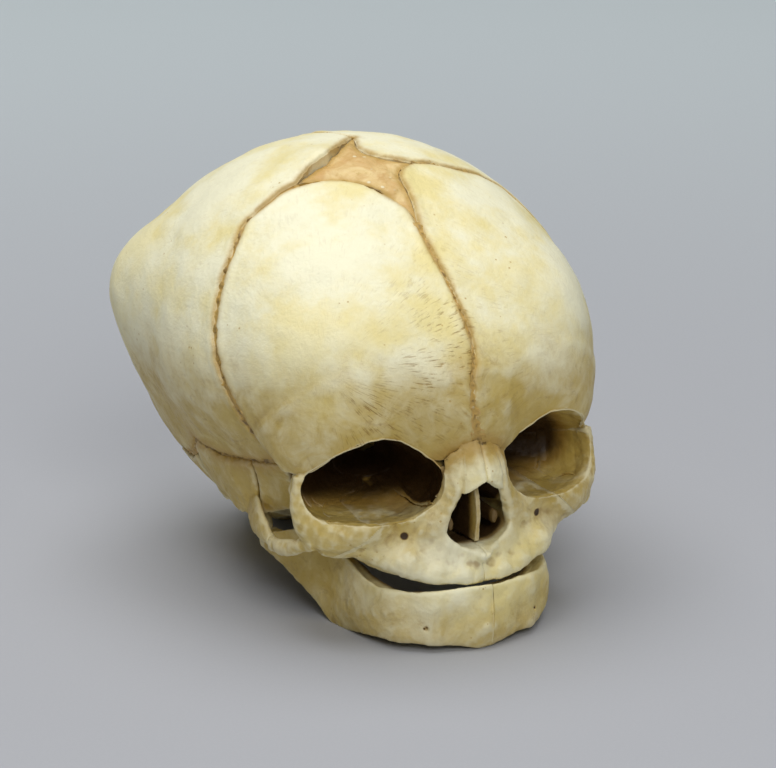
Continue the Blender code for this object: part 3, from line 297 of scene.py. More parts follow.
RIM_SHARES = (
    (0.180, 0.890, 0.750), (0.215, 0.870, 0.800), (0.325, 0.860, 0.866), (0.450, 0.872, 0.916),
    (0.575, 0.866, 0.924), (0.712, 0.806, 0.868), (0.835, 0.684, 0.756), (0.850, 0.684, 0.660),
    (0.800, 0.744, 0.588), (0.662, 0.820, 0.564), (0.520, 0.872, 0.564), (0.362, 0.876, 0.572),
    (0.250, 0.876, 0.616), (0.190, 0.886, 0.680),
)
GLABELLA_SHARES = ((0.000, 0.950, 0.872), (0.095, 0.925, 0.846), (0.170, 0.895, 0.796))
APEX_SHARES = (0.225, 0.280, 0.700)
SOCKET_DEPTH_SHARES = (-0.60, 0.0, 0.12, 0.35, 0.65, 0.90, 1.0)
SOCKET_WIDTH_SHARES = (1.22, 1.0, 1.04, 0.97, 0.66, 0.34, 0.14)
SOCKET_SAG_SHARE = 0.040
LIP_DEPTH = 0.12
RIM_COUNT = len(RIM_SHARES)


def rim_points(side):
    return np.array([face(*share, side) for share in RIM_SHARES])


def socket_line(side, depth):
    """Middle of the socket at a depth share, with a sag of sin(pi * depth)."""
    centre, apex = rim_points(side).mean(axis=0), face(*APEX_SHARES, side)
    middle = centre + np.asarray(depth, float)[..., None] * (apex - centre)
    middle[..., 2] -= SOCKET_SAG_SHARE * FACE_BOX[2] * np.sin(math.pi * np.clip(depth, 0, 1))
    return middle


def socket(side, round_share, depth):
    """Socket wall: the rim's offset from its middle, scaled by a width that falls with depth."""
    rim = rim_points(side)
    width = np.interp(depth, SOCKET_DEPTH_SHARES, SOCKET_WIDTH_SHARES)
    offset = loop(rim, round_share) - rim.mean(axis=0)
    return socket_line(side, depth)[:, None] + offset[None] * width[:, None, None]


def socket_place(points, side):
    """Depth share and width share of points in the socket: width 1 is the wall.

    The offset from the socket's middle line is compared, in the plane across the line, with the rim
    in the same turn.
    """
    rim = rim_points(side)
    centre, apex = rim.mean(axis=0), face(*APEX_SHARES, side)
    axis = apex - centre
    depth = ((points - centre) @ axis) / (axis @ axis)
    ahead = unit(axis)
    right = unit(np.cross(ahead, (0.0, 0.0, 1.0)))
    up = np.cross(right, ahead)
    shares = np.linspace(0, 1, 240, endpoint=False)
    offset = loop(rim, shares) - centre
    turn = np.arctan2(offset @ up, offset @ right)
    reach = np.hypot(offset @ up, offset @ right)
    order = np.argsort(turn)
    away = points - socket_line(side, depth)
    away_turn = np.arctan2(away @ up, away @ right)
    wall = np.interp(away_turn, turn[order], reach[order], period=2 * math.pi)
    lag = np.interp(away_turn, turn[order], (offset @ ahead)[order], period=2 * math.pi)
    depth = depth - lag / np.linalg.norm(axis)
    wall = wall * np.interp(depth, SOCKET_DEPTH_SHARES, SOCKET_WIDTH_SHARES)
    return depth, np.hypot(away @ up, away @ right) / np.maximum(wall, 0.01)


def clear_socket(points, side):
    """Moves points that lie inside the socket out to its wall, away from its middle line."""
    depth, width = socket_place(points, side)
    inside = (width < 1) & (depth > -0.55) & (depth < 1)
    push = np.where(inside, 1 / np.maximum(width, 0.05), 1.0)
    middle = socket_line(side, depth)
    return middle + (points - middle) * push[:, None]


# Meshes

def grid_quads(rows, columns, closed=False, start=0):
    starts = np.arange(columns if closed else columns - 1)
    row, column = np.meshgrid(np.arange(rows - 1) * columns, starts, indexing="ij")
    following = (column + 1) % columns
    corners = (row + column, row + following, row + columns + following, row + columns + column)
    return start + np.stack(corners, -1).reshape(-1, 4)


def new_mesh(name, points, faces):
    """A smooth-shaded mesh from millimetre points, its faces turned outwards."""
    mesh = bpy.data.meshes.new(name)
    mesh.from_pydata(((points + PLACE) * MM).tolist(), [], [list(corners) for corners in faces])
    mesh.polygons.foreach_set("use_smooth", np.ones(len(mesh.polygons), bool))
    piece = bpy.data.objects.new(name, mesh)
    bpy.context.scene.collection.objects.link(piece)
    if signed_volume(mesh) < 0:
        mesh.flip_normals()
    return piece


def signed_volume(mesh):
    mesh.calc_loop_triangles()
    corners = np.zeros(len(mesh.loop_triangles) * 3, np.int32)
    mesh.loop_triangles.foreach_get("vertices", corners)
    place = read_points(mesh)[corners].reshape(-1, 3, 3)
    return (place[:, 0] * np.cross(place[:, 1], place[:, 2])).sum() / 6


def read_points(mesh):
    place = np.zeros(len(mesh.vertices) * 3)
    mesh.vertices.foreach_get("co", place)
    return place.reshape(-1, 3) / MM - PLACE


def write_points(mesh, points):
    mesh.vertices.foreach_set("co", ((points + PLACE) * MM).ravel())
    mesh.update()


def read_normals(mesh):
    normal = np.zeros(len(mesh.vertices) * 3)
    mesh.vertex_normals.foreach_get("vector", normal)
    return normal.reshape(-1, 3)


def shell(name, outer, inner):
    """A closed plate between an outer and an inner grid of the same size."""
    rows, columns = outer.shape[:2]
    count = rows * columns
    top = grid_quads(rows, columns)
    bottom = grid_quads(rows, columns, start=count)[:, ::-1]
    edge = np.concatenate([np.arange(columns), np.arange(2, rows + 1) * columns - 1,
                           np.arange(columns - 2, -1, -1) + (rows - 1) * columns,
                           np.arange(rows - 2, 0, -1) * columns])
    following = np.roll(edge, -1)
    rim = np.stack([following, edge, edge + count, following + count], axis=-1)
    points = np.concatenate([outer.reshape(-1, 3), inner.reshape(-1, 3)])
    return new_mesh(name, points, np.concatenate([top, bottom, rim]))


def tube(name, body):
    """A closed solid from a grid of rings, with a fan of faces over each end."""
    rows, columns = body.shape[:2]
    points = np.concatenate([body.reshape(-1, 3), [body[0].mean(axis=0), body[-1].mean(axis=0)]])
    here = np.arange(columns)
    there = (here + 1) % columns
    first, last = rows * columns, rows * columns + 1
    caps = [[first, b, a] for a, b in zip(here, there)]
    caps += [[last, first - columns + a, first - columns + b] for a, b in zip(here, there)]
    return new_mesh(name, points, grid_quads(rows, columns, closed=True).tolist() + caps)


def loft(rings, rows, columns):
    """Grid through rings of points: closed curves round, cubics along."""
    rings = np.array(rings, float)
    share = np.arange(columns) / columns
    fine = np.array([loop(ring, share) for ring in rings])
    return hermite(fine, arc_knots(fine.mean(axis=1)), np.linspace(0, 1, rows))


def join(name, pieces):
    """One mesh out of several, their loose shells kept."""
    for piece in bpy.context.selected_objects:
        piece.select_set(False)
    for piece in pieces:
        piece.select_set(True)
    bpy.context.view_layer.objects.active = pieces[0]
    bpy.ops.object.join()
    pieces[0].name = name
    pieces[0].data.name = name
    return pieces[0]


def settle(piece):
    """Keeps what the modifiers show as the piece's own mesh."""
    bpy.context.view_layer.update()
    mesh = bpy.data.meshes.new_from_object(piece.evaluated_get(bpy.context.evaluated_depsgraph_get()))
    old = piece.data
    piece.modifiers.clear()
    piece.data = mesh
    mesh.name = piece.name
    bpy.data.meshes.remove(old)
    return piece


def fuse(piece, voxel, smoothing):
    """Runs overlapping shells into one skin of small even faces, then relaxes it."""
    skin = piece.modifiers.new("skin", "REMESH")
    skin.mode = "VOXEL"
    skin.voxel_size = voxel * MM
    skin.use_smooth_shade = True
    soft = piece.modifiers.new("soft", "SMOOTH")
    soft.factor = 0.5
    soft.iterations = smoothing
    return settle(piece)


def copy_of(node, name):
    """A merged copy of a packed bone, as a start for a finer one."""
    piece = bpy.data.objects.new(name, frame["nodes"][node].data.copy())
    bpy.context.scene.collection.objects.link(piece)
    piece.data.materials.clear()
    weld = piece.modifiers.new("weld", "WELD")
    weld.merge_threshold = WELD_DISTANCE
    return settle(piece)


def bisect(shape, point, normal, clear_outer=False):
    """Cuts the faces along a plane, and clears what lies beyond it if asked."""
    geometry = shape.verts[:] + shape.edges[:] + shape.faces[:]
    return bmesh.ops.bisect_plane(shape, geom=geometry, dist=CUT_TOLERANCE, plane_no=Vector(normal),
                                  plane_co=Vector((point + PLACE) * MM), clear_outer=clear_outer)


def part_off(piece, point, normal):
    """Cuts away what lies beyond a plane and closes the cut."""
    shape = bmesh.new()
    shape.from_mesh(piece.data)
    cut = bisect(shape, point, normal, clear_outer=True)
    edges = [edge for edge in cut["geom_cut"] if isinstance(edge, bmesh.types.BMEdge)]
    bmesh.ops.holes_fill(shape, edges=edges, sides=0)
    shape.to_mesh(piece.data)
    shape.free()


def wedge(piece, name, planes, inside):
    """The part of a piece inside a wedge of planes, or all but it, with the cut closed."""
    shape = bmesh.new()
    shape.from_mesh(piece.data)
    for point, normal in planes:
        bisect(shape, point, normal)
    bmesh.ops.triangulate(shape, faces=shape.faces)
    cut = bpy.data.meshes.new("cut")
    shape.to_mesh(cut)
    shape.free()
    corners = np.zeros(len(cut.loops), np.int32)
    cut.loops.foreach_get("vertex_index", corners)
    corners = corners.reshape(-1, 3)
    points = read_points(cut)
    middle = points[corners].mean(axis=1)
    within = np.all([(middle - point) @ normal > 0 for point, normal in planes], axis=0)
    kept = corners[within if inside else ~within]
    used, kept = np.unique(kept, return_inverse=True)
    bpy.data.meshes.remove(cut)
    made = new_mesh(name, points[used], kept.reshape(-1, 3))
    shape = bmesh.new()
    shape.from_mesh(made.data)
    bmesh.ops.holes_fill(shape, edges=shape.edges[:], sides=0)
    shape.to_mesh(made.data)
    shape.free()
    return made


def cut_at(points, point, normal):
    """Presses what lies beyond a plane flat onto it."""
    beyond = np.maximum((points - point) @ normal, 0)
    return points - beyond[:, None] * normal


def bumps(points, normals, places, side=1):
    """Moves points along their normals by height * exp(-(distance/radius)^2) for each place."""
    lift = np.zeros(len(points))
    for across, forward, up, radius, height in places:
        gap = ((points - face(across, forward, up, side))**2).sum(axis=1)
        lift += height * np.exp(-gap / radius**2)
    return points + lift[:, None] * normals


def roughen(points, normals, broad, fine, seed):
    """Uneven bone: broad and fine noise along the normals, in millimetres."""
    lift = broad * ripple(points, 9.0, seed) + fine * ripple(points, 2.4, seed + 1)
    lift += 0.35 * fine * ripple(points, 0.9, seed + 2)
    return points + lift[:, None] * normals


def roughen_piece(piece, broad, fine, seed):
    mesh = piece.data
    write_points(mesh, roughen(read_points(mesh), read_normals(mesh), broad, fine, seed))


# Stains, painted shade and painted highlight, as values on the vertices

def stain_lines():
    """Each line of staining: its points, how strong it is, and how far it spreads."""
    lines = [(on_braincase(MIDDLE_FRONT), 1.0, 0.8), (on_braincase(MIDDLE_TOP), 0.8, 0.7)]
    for side in SIDES:
        lines += [(on_braincase(SIDE_CORONAL[side]), 1.0, 0.9), (on_braincase(CROWN_FRONT[side]), 1.0, 0.9),
                  (on_braincase(CROWN_BACK[side]), 1.0, 1.0),
                  (on_braincase(side_seam(SQUAMOUS, side)), 0.9, 2.0),
                  (on_braincase(side_seam(PARIETAL_HEEL, side)), 0.8, 1.2),
                  (on_braincase(side_seam(LAMBDOID, side)), 0.9, 1.0)]
        brow = [face(*share, side) for share in GLABELLA_SHARES]
        lines.append((curve(brow, np.linspace(0, 1, 40)), 1.0, 2.2))
    return lines


STAIN_LINES = stain_lines()
# How fast the streaks change with the turn in radians and the reach in millimetres
FIBRES_ACROSS = 50
FIBRES_ALONG = 0.35
# The span of depths in millimetres, below and above the surroundings, that the colours tell apart: painted
# shade in recesses, a painted highlight on rises
CAVITY_SHADE_RANGE = 0.6


def add_value(mesh, name, values):
    layer = mesh.attributes.new(name, "FLOAT", "POINT")
    layer.data.foreach_set("value", np.asarray(values, np.float32))


def sunken(mesh, points, normals, rounds=36):
    """How far each point lies below its surroundings, in millimetres.

    The mesh is relaxed in rounds, each point halfway to the mean of its neighbours, and the way it
    moved is measured along its normal.
    """
    ends = np.zeros(len(mesh.edges) * 2, np.int32)
    mesh.edges.foreach_get("vertices", ends)
    first, second = ends.reshape(-1, 2).T
    count = np.bincount(ends, minlength=len(points))
    soft = points.copy()
    for _ in range(rounds):
        for axis in range(3):
            total = (np.bincount(first, soft[second, axis], len(points))
                     + np.bincount(second, soft[first, axis], len(points)))
            soft[:, axis] = 0.5 * soft[:, axis] + 0.5 * total / np.maximum(count, 1)
    return ((soft - points) * normals).sum(axis=1)


def fibres(points, boss):
    """Turn and reach round the middle of a bone, along which its fibres spread: radians and millimetres."""
    towards = direction(*boss)
    level = unit(np.cross((0.0, 0.0, 1.0), towards))
    directions = unit(points - CENTRE)
    turn = np.arctan2(directions @ np.cross(towards, level), directions @ level * (1 if boss[0] < 0 else -1))
    reach = np.arccos(np.clip(directions @ towards, -1, 1)) * HALF_WIDTH
    return np.stack([FIBRES_ACROSS * turn, FIBRES_ALONG * reach, 0 * turn], axis=-1)


def spot(across, up, place, spread):
    """exp(-(across gap/wide)^2 - (up gap/tall)^2) round a place, seen from the front."""
    return np.exp(-((across - place[0]) / spread[0])**2 - ((up - place[1]) / spread[1])**2)


def stain_and_shade(piece, boss=None):
    """Writes the values that colour the bone: stains, and painted shade and painted highlight.

    seam: strength * exp(-distance/spread) of the nearest seam. warm: rises from the crown to the
    brow, face and base. hollow: painted shade, stronger the deeper a point lies in a socket, the nose, the
    mouth or a hole; in a socket the roof and walls take it nearer the rim than the floor. scratch: fine
    strokes by place across and up alone, so on the forehead and behind it too.
    sunk: how far below or above its surroundings a point lies, for painted shade in recesses and a painted
    highlight on rises. fibre: place along and across the fibres of a plate.
    """
    mesh = piece.data
    points = read_points(mesh)
    strength = np.zeros(len(points))
    for line, power, spread in STAIN_LINES:
        strength = np.maximum(strength, power * np.exp(-nearest(points, line) / spread))
    x, y, z = points.T
    warm = smooth_step(-z, -72, -44) * (1 - 0.45 * smooth_step(y, 0, 40) * smooth_step(z, 15, 45))
    wide = np.abs(x)
    warm -= 0.75 * spot(wide, z, (2, 37), (4.5, 6)) * smooth_step(-y, 42, 45)
    warm -= 0.90 * spot(x, z, (0, 16), (24, 11)) * smooth_step(-y, 20, 38)
    warm += 0.45 * spot(x, z, (-4, 52), (20, 9)) * smooth_step(-y, 20, 34)
    warm += 0.35 * smooth_step(-z, -50, -42) * smooth_step(wide, 12, 20) * smooth_step(z, 24, 30)
    painted_shade = np.zeros(len(points))
    # Painted shade in the sockets: darker deeper in, with the roof and walls darkening nearer the rim than
    # the floor, and darkest near the back
    for side in SIDES:
        depth, width = socket_place(points, side)
        inside = smooth_step(-width, -1.25, -1.02)
        above_floor = smooth_step(z - socket_line(side, depth)[:, 2], -9, -1)
        inside = inside * ((1 - above_floor) * smooth_step(depth, 0.34, 0.95) * 0.75
                           + above_floor * smooth_step(depth, 0.04, 0.46))
        deep = smooth_step(-np.linalg.norm(points - face(*APEX_SHARES, side), axis=1), -11, -7)
        painted_shade = np.maximum(painted_shade, np.maximum(inside, deep) * (np.sign(x) == side))
    # Painted shade in the opening of the nose, darker deeper in
    nose = smooth_step(-wide, -8.5, -7) * smooth_step(y, -47.5, -42) * smooth_step(z, 19, 22)
    painted_shade = np.maximum(painted_shade, nose * smooth_step(-z, -40, -36) * smooth_step(-y, 14, 24))
    # Painted shade inside the mouth: the underside of the palate and the inner side of the jaw
    jaw_bow = np.abs(x / 22)**3 + np.abs(np.minimum(y + 22, 0) / 31)**3
    mouth = smooth_step(-jaw_bow, -0.66, -0.48) * smooth_step(-y, 8, 18) * smooth_step(-z, -22, -18)
    painted_shade = np.maximum(painted_shade, 0.62 * mouth * smooth_step(z, 7, 12))
    # Painted shade in the holes under the eyes and in the chin
    for share, hole in ((INFRAORBITAL_SHARES, 0.72), (MENTAL_SHARES, 0.25)):
        for side in SIDES:
            place = face(*share, side)
            away = np.hypot(x - place[0], z - place[2]) + 9 * (np.abs(y - place[1]) > 4)
            painted_shade = np.maximum(painted_shade, 1 - smooth_step(away, 0.7 * hole, 1.5 * hole))
    scratch = (0.95 * spot(x, z, (-5, 62), (11, 11)) + 0.90 * spot(x, z, (-11, 52), (10, 6))
               + 0.75 * spot(x, z, (-25, 51), (8, 6)) + 0.10) * (boss is not None)
    warm += 0.45 * np.exp(-(nearest(points, STAIN_LINES[0][0], 12.0) / 5.0)**2) * smooth_step(-z, -80, -50)
    fibre = fibres(points, boss) if boss is not None else np.zeros_like(points)
    layer = mesh.attributes.new("fibre", "FLOAT_VECTOR", "POINT")
    layer.data.foreach_set("vector", fibre.astype(np.float32).ravel())
    # How far each point lies below its surroundings, for painted shade in recesses and a painted highlight on
    # rises
    depth_below = sunken(mesh, points, read_normals(mesh))
    add_value(mesh, "sunk", np.clip(0.5 + depth_below / CAVITY_SHADE_RANGE, 0, 1))
    add_value(mesh, "seam", strength)
    add_value(mesh, "warm", np.clip(warm, 0, 1))
    add_value(mesh, "painted_shade", painted_shade)
    add_value(mesh, "scratch", np.clip(scratch, 0, 1))


# Materials

def linear(red, green, blue):
    """Linear colour from the 0 to 255 values seen on screen."""
    tone = np.array([red, green, blue]) / 255
    return tuple(np.where(tone > 0.04045, ((tone + 0.055) / 1.055)**2.4, tone / 12.92))


class Finish:
    """A small builder for node materials, with a tone that colours are laid over."""

    def __init__(self, name, tone):
        self.material = bpy.data.materials.new(name)
        self.material.use_nodes = True
        self.tree = self.material.node_tree
        self.shader = self.tree.nodes["Principled BSDF"]
        self.place = self.node("TexCoord").outputs["Object"]
        self.tone = tone

    def node(self, kind, inputs=None, **settings):
        """A new node with its settings, then its inputs linked or set, by name or number."""
        made = self.tree.nodes.new(f"ShaderNode{kind}")
        for name, value in settings.items():
            setattr(made, name, value)
        for name, value in (inputs or {}).items():
            self.link(value, made.inputs[name])
        return made

    def link(self, value, target):
        if isinstance(value, bpy.types.NodeSocket):
            self.tree.links.new(value, target)
        elif isinstance(value, (int, float)):
            target.default_value = value
        else:
            target.default_value = (*value, 1.0)

    def value(self, name):
        return self.node("Attribute", attribute_name=name).outputs["Fac"]

    def noise(self, scale, detail=4.0, roughness=0.55, distortion=0.0, place=None):
        inputs = {"Scale": scale, "Detail": detail, "Roughness": roughness, "Distortion": distortion,
                  "Vector": self.place if place is None else place}
        return self.node("TexNoise", inputs).outputs["Fac"]

    def cells(self, scale):
        return self.node("TexVoronoi", {"Scale": scale, "Vector": self.place}).outputs["Distance"]

    def ramp(self, value, low, high, to_low=0.0, to_high=1.0):
        """The value's way from low to high as a smooth way from to_low to to_high."""
        inputs = {"From Min": low, "From Max": high, "To Min": to_low, "To Max": to_high, "Value": value}
        return self.node("MapRange", inputs, interpolation_type="SMOOTHSTEP").outputs["Result"]

    def math(self, operation, first, second):
        clamped = operation in ("ADD", "SUBTRACT")
        return self.node("Math", {0: first, 1: second}, operation=operation, use_clamp=clamped).outputs[0]

    def times(self, first, second):
        return self.math("MULTIPLY", first, second)

    def lay(self, factor, colour):
        """Lays a colour over the tone by a factor."""
        inputs = {"Factor": factor, "A": self.tone, "B": colour}
        self.tone = self.node("Mix", inputs, data_type="RGBA").outputs["Result"]

    def bump(self, height, distance, strength, below=None):
        inputs = {"Strength": strength, "Distance": distance, "Height": height}
        if below is not None:
            inputs["Normal"] = below
        return self.node("Bump", inputs).outputs["Normal"]

    def finish(self, roughness, normal=None):
        self.link(self.tone, self.shader.inputs["Base Color"])
        self.link(roughness, self.shader.inputs["Roughness"])
        if normal is not None:
            self.link(normal, self.shader.inputs["Normal"])
        return self.material


def bone_finish(name, settings, extra_warm=0.0, shade=0.0):
    """Bone: ivory to cream cloud, ochre where warm, golden brown at seams, painted shade in hollows and
    recesses and over the whole bone by the shade argument, and a painted highlight on rises.
    """
    made = Finish(name, settings.ivory)
    cloud = made.noise(55, 5, 0.6)
    patch = made.noise(140, 6, 0.62, distortion=0.6)
    grain = made.noise(900, 6, 0.65)
    warm = made.math("ADD", made.value("warm"), extra_warm)
    made.lay(made.ramp(cloud, 0.38, 0.66), settings.cream)
    dull = made.times(warm, made.ramp(patch, 0.25, 0.7, 0.58, 1.0))
    made.lay(made.ramp(dull, 0.0, 1.0, 0.0, 0.92), settings.ochre)
    blotch = made.times(made.ramp(made.noise(210, 7, 0.7, distortion=1.2), 0.52, 0.72), warm)
    made.lay(made.times(blotch, 0.5), settings.umber)
    made.lay(made.ramp(grain, 0.60, 0.76, 0.0, 0.16), settings.umber)
    # Painted shade: umber in recesses. Painted highlight: ivory on rises.
    sunk = made.value("sunk")
    made.lay(made.ramp(sunk, 0.58, 0.98, 0.0, 0.60), settings.umber)
    made.lay(made.ramp(sunk, 0.46, 0.10, 0.0, 0.45), settings.ivory)
    edge = made.times(made.value("seam"), made.ramp(patch, 0.30, 0.62, 0.55, 1.15))
    made.lay(made.ramp(edge, 0.05, 0.55, 0.0, 0.80), settings.gold)
    crack = made.times(made.ramp(edge, 0.66, 0.92), made.ramp(made.noise(520, 3), 0.46, 0.60))
    made.lay(made.times(crack, 0.85), settings.crack)
    along = made.node("Attribute", attribute_name="fibre").outputs["Vector"]
    strands = made.noise(1.0, 2.0, 0.5, place=along)
    streak = made.times(made.ramp(strands, 0.53, 0.66), made.ramp(patch, 0.42, 0.60))
    streak = made.times(streak, made.value("scratch"))
    made.lay(made.times(streak, 0.80), settings.umber)
    pit = made.times(made.ramp(made.cells(620), 0.10, 0.20, 1.0, 0.0),
                     made.ramp(made.noise(120, 2), 0.60, 0.68))
    made.lay(made.times(pit, 0.7), settings.gold)
    # Painted shade: dark brown, then darkest brown, where the hollow value is high, and over the whole bone
    # by the shade argument
    deep = made.math("MAXIMUM", made.value("painted_shade"), shade)
    made.lay(made.ramp(deep, 0.08, 0.45, 0.0, 0.80), settings.umber)
    made.lay(made.ramp(deep, 0.34, 0.80, 0.0, 0.97), settings.crack)
    height = made.math("SUBTRACT", made.ramp(grain, 0.3, 0.75), made.times(pit, 0.9))
    normal = made.bump(height, 0.00012, 0.55)
    normal = made.bump(made.math("SUBTRACT", 1.0, streak), 0.00012, 0.7, normal)
    normal = made.bump(patch, 0.0005, 0.35, normal)
    made.shader.inputs["Specular IOR Level"].default_value = 0.42
    return made.finish(made.ramp(grain, 0.3, 0.7, 0.40, 0.58), normal)


def membrane_finish(settings):
    """Dried membrane: tan and orange mottling with tiny blisters and dark lines at its edge."""
    made = Finish("dried_membrane", settings.membrane_light)
    cloud = made.noise(160, 6, 0.65, distortion=0.8)
    fine = made.noise(700, 5, 0.6)
    made.lay(made.ramp(cloud, 0.32, 0.66), settings.membrane)
    made.lay(made.ramp(fine, 0.55, 0.75, 0.0, 0.55), settings.gold)
    edge = made.value("seam")
    made.lay(made.ramp(edge, 0.08, 0.42, 0.0, 0.85), settings.gold)
    crack = made.times(made.ramp(edge, 0.40, 0.56), made.ramp(made.noise(420, 3), 0.42, 0.58, 0.35, 1.0))
    made.lay(made.times(crack, 0.62), settings.crack)
    blister = made.ramp(made.cells(480), 0.12, 0.26, 1.0, 0.0)
    blister = made.times(blister, made.ramp(made.noise(170, 2), 0.58, 0.66))
    made.lay(made.times(blister, 0.6), settings.ivory)
    normal = made.bump(cloud, 0.0008, 0.6)
    normal = made.bump(made.math("ADD", fine, blister), 0.00018, 0.7, normal)
    return made.finish(made.ramp(fine, 0.3, 0.7, 0.45, 0.62), normal)


def stage_finish(name, near, far):
    """Matt paper with a faint grain, from the near tone to the far one away from the skull: painted light,
    the paper lighter where the lamps light it less.
    """
    made = Finish(name, near)
    away = made.node("VectorMath", {0: made.place}, operation="LENGTH").outputs["Value"]
    # Painted light: the paper is painted lighter away from the skull, where the lamps light it less
    made.lay(made.ramp(away, 0.06, 0.74), far)
    made.lay(made.ramp(made.noise(1500, 3), 0.3, 0.7, 0.0, 0.10), [tone * 0.8 for tone in near])
    return made.finish(0.85)


# Finishing and handing over a piece

def dress(piece, nodes, body, finish, boss=None):
    """Writes a piece's stains and its painted shade and highlight as values, and hands it over: the finish is
    a material's name.
    """
    stain_and_shade(piece, boss)
    piece.data.set_sharp_from_angle(angle=SHARP_EDGE)
    piece.data.materials.clear()
    piece.data.materials.append(bpy.data.materials[finish])
    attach(piece, body)
    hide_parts(*nodes)


def side_name(side):
    return "left" if side > 0 else "right"


# The plates of the braincase

def edge_dense(count, pull=0.13):
    """Shares from 0 to 1 that lie closer together at both ends: t - pull * sin(2 pi t)."""
    t = np.linspace(0, 1, count)
    return t - pull * np.sin(2 * math.pi * t)


def jagged(line, seed, gap):
    """Half the seam's width along a line: even, plus small teeth."""
    place = on_braincase(line)
    teeth = 0.15 * ripple(place, 2.6, seed) + 0.12 * ripple(place, 1.0, seed + 1)
    return np.maximum(gap / 2 + teeth, 0.04)


def seam_patch(edges, columns, rows, gaps, seed, widening=0.0):
    """Directions of a plate between four seams, drawn back from each by half a jagged gap.

    The plate is a Coons patch: the sum of the two ruled surfaces between facing edges, less the
    bilinear one through the corners. The gap at its left seam widens towards the top.
    """
    bottom, top, left, right = edges
    u, v = np.meshgrid(edge_dense(columns), edge_dense(rows))
    width = np.linalg.norm(walk(right, v[:, 0]) - walk(left, v[:, 0]), axis=1) * HALF_WIDTH
    height = np.linalg.norm(walk(top, u[0]) - walk(bottom, u[0]), axis=1) * HALF_WIDTH
    width, height = np.maximum(width, 12), np.maximum(height, 12)
    near = jagged(walk(left, v[:, 0]), seed, gaps[2]) + widening * smooth_step(v[:, 0], 0.84, 1.0)
    near = (near / width)[:, None]
    far = (jagged(walk(right, v[:, 0]), seed + 3, gaps[3]) / width)[:, None]
    low = (jagged(walk(bottom, u[0]), seed + 6, gaps[0]) / height)[None]
    high = (jagged(walk(top, u[0]), seed + 9, gaps[1]) / height)[None]
    u = near + u * (1 - near - far)
    v = low + v * (1 - low - high)
    s, t = u[..., None], v[..., None]
    corners = ((1 - s) * (1 - t) * bottom[0] + s * (1 - t) * bottom[-1]
               + (1 - s) * t * top[0] + s * t * top[-1])
    made = ((1 - t) * walk(bottom, u) + t * walk(top, u) + (1 - s) * walk(left, v) + s * walk(right, v)
            - corners)
    return unit(made)


def grid_edge_distance(points, with_bottom=True):
    edge = [points[0]] if with_bottom else []
    return nearest(points, np.concatenate(edge + [points[-1], points[:, 0], points[:, -1]]))


def vault_plate(name, edges, columns, rows, gaps, thickness, seed, rim=None, raised=None):
    """A plate with a slightly raised, rolled edge and a gently uneven face."""
    directions = seam_patch(edges, columns, rows, gaps, seed, 0.0 if rim is None else 0.75)
    outer = on_braincase(directions)
    step = np.zeros(directions.shape[:2])
    thickness = np.full(directions.shape[:2], thickness)
    if raised is not None:
        place, height, spread = raised
        angle = np.degrees(np.arccos(np.clip(directions @ place, -1, 1)))
        step = height * np.exp(-(angle / spread)**2)
        outer = outer + step[..., None] * directions
    if rim is not None:
        outer = flare_to_rim(outer, directions, rim)
        thickness = thickness * (0.25 + 0.75 * smooth_step(nearest(outer, outer[0]), 0, 3.0))
    edge = grid_edge_distance(outer, rim is None)
    lift = 0.14 * np.exp(-((edge - 1.5) / 1.0)**2) - 0.50 * np.exp(-(edge / 0.36)**2) - 0.29
    lift += 0.20 * ripple(outer, 17, 5) + 0.07 * ripple(outer, 6, 6) + 0.018 * ripple(outer, 1.7, 7)
    outer = outer + lift[..., None] * directions
    inner = outer - (thickness + 0.7 * step - 0.4 * np.exp(-(edge / 0.6)**2))[..., None] * directions
    return shell(name, outer, inner)


def flare_to_rim(points, directions, rim):
    """Lifts the brow so that its edge meets the socket's rim."""
    rim = curve(rim, np.linspace(0, 1, 60))
    towards = unit(rim - CENTRE)
    lift = np.linalg.norm(rim - CENTRE, axis=1) - braincase_radius(towards)
    flat = directions.reshape(-1, 3)
    apart = np.arccos(np.clip(flat @ towards.T, -1, 1)) * HALF_WIDTH
    weight = np.exp(-(apart / 3.0)**2) + 1e-9
    wanted = (weight * lift).sum(axis=1) / weight.sum(axis=1)
    shift = wanted * np.exp(-(apart.min(axis=1) / 10.0)**2)
    return points + shift.reshape(points.shape[:2])[..., None] * directions


def socket_sheet(name, side, turns, depths, thickness, size, seed, lip=1.0):
    """Part of the socket wall as a plate that thickens away from the socket, from a lip at its near edge.

    It runs between two turns, counted in points of the rim, and between two depth shares.
    """
    columns, rows = size
    depth = np.linspace(*depths, rows)
    wall = socket(side, np.linspace(turns[0] / RIM_COUNT, turns[1] / RIM_COUNT, columns), depth)
    away = unit(wall - socket_line(side, depth)[:, None])
    wall = wall + (0.16 * ripple(wall, 7, seed) + 0.07 * ripple(wall, 2.2, seed + 1))[..., None] * away
    thick = thickness * (lip + (1 - lip) * smooth_step(depth, depths[0], depths[0] + LIP_DEPTH))
    return shell(name, wall, wall + thick[:, None, None] * away)


def make_frontal(side, settings):
    rim = rim_points(side)
    brow = np.array([face(*share, side) for share in GLABELLA_SHARES] + list(rim[1:7]))
    back = SIDE_CORONAL[side]
    low = seam([MIDDLE_FRONT[0]] + list(unit(brow - CENTRE)[1:]) + [back[0]], 240)
    gap = settings.seam_gap
    plate = vault_plate("brow", (low, CROWN_FRONT[side], MIDDLE_FRONT, back), 170, 170,
                        (0.1, 0.2, gap, gap), settings.bone_thickness, 20 + side, brow)
    roof = socket_sheet("roof", side, (0.3, 6.15), (0.0, 0.95), 1.2, (90, 60), 31 + side, 0.2)
    return join(f"frontal_bone_{side_name(side)}", [plate, roof])


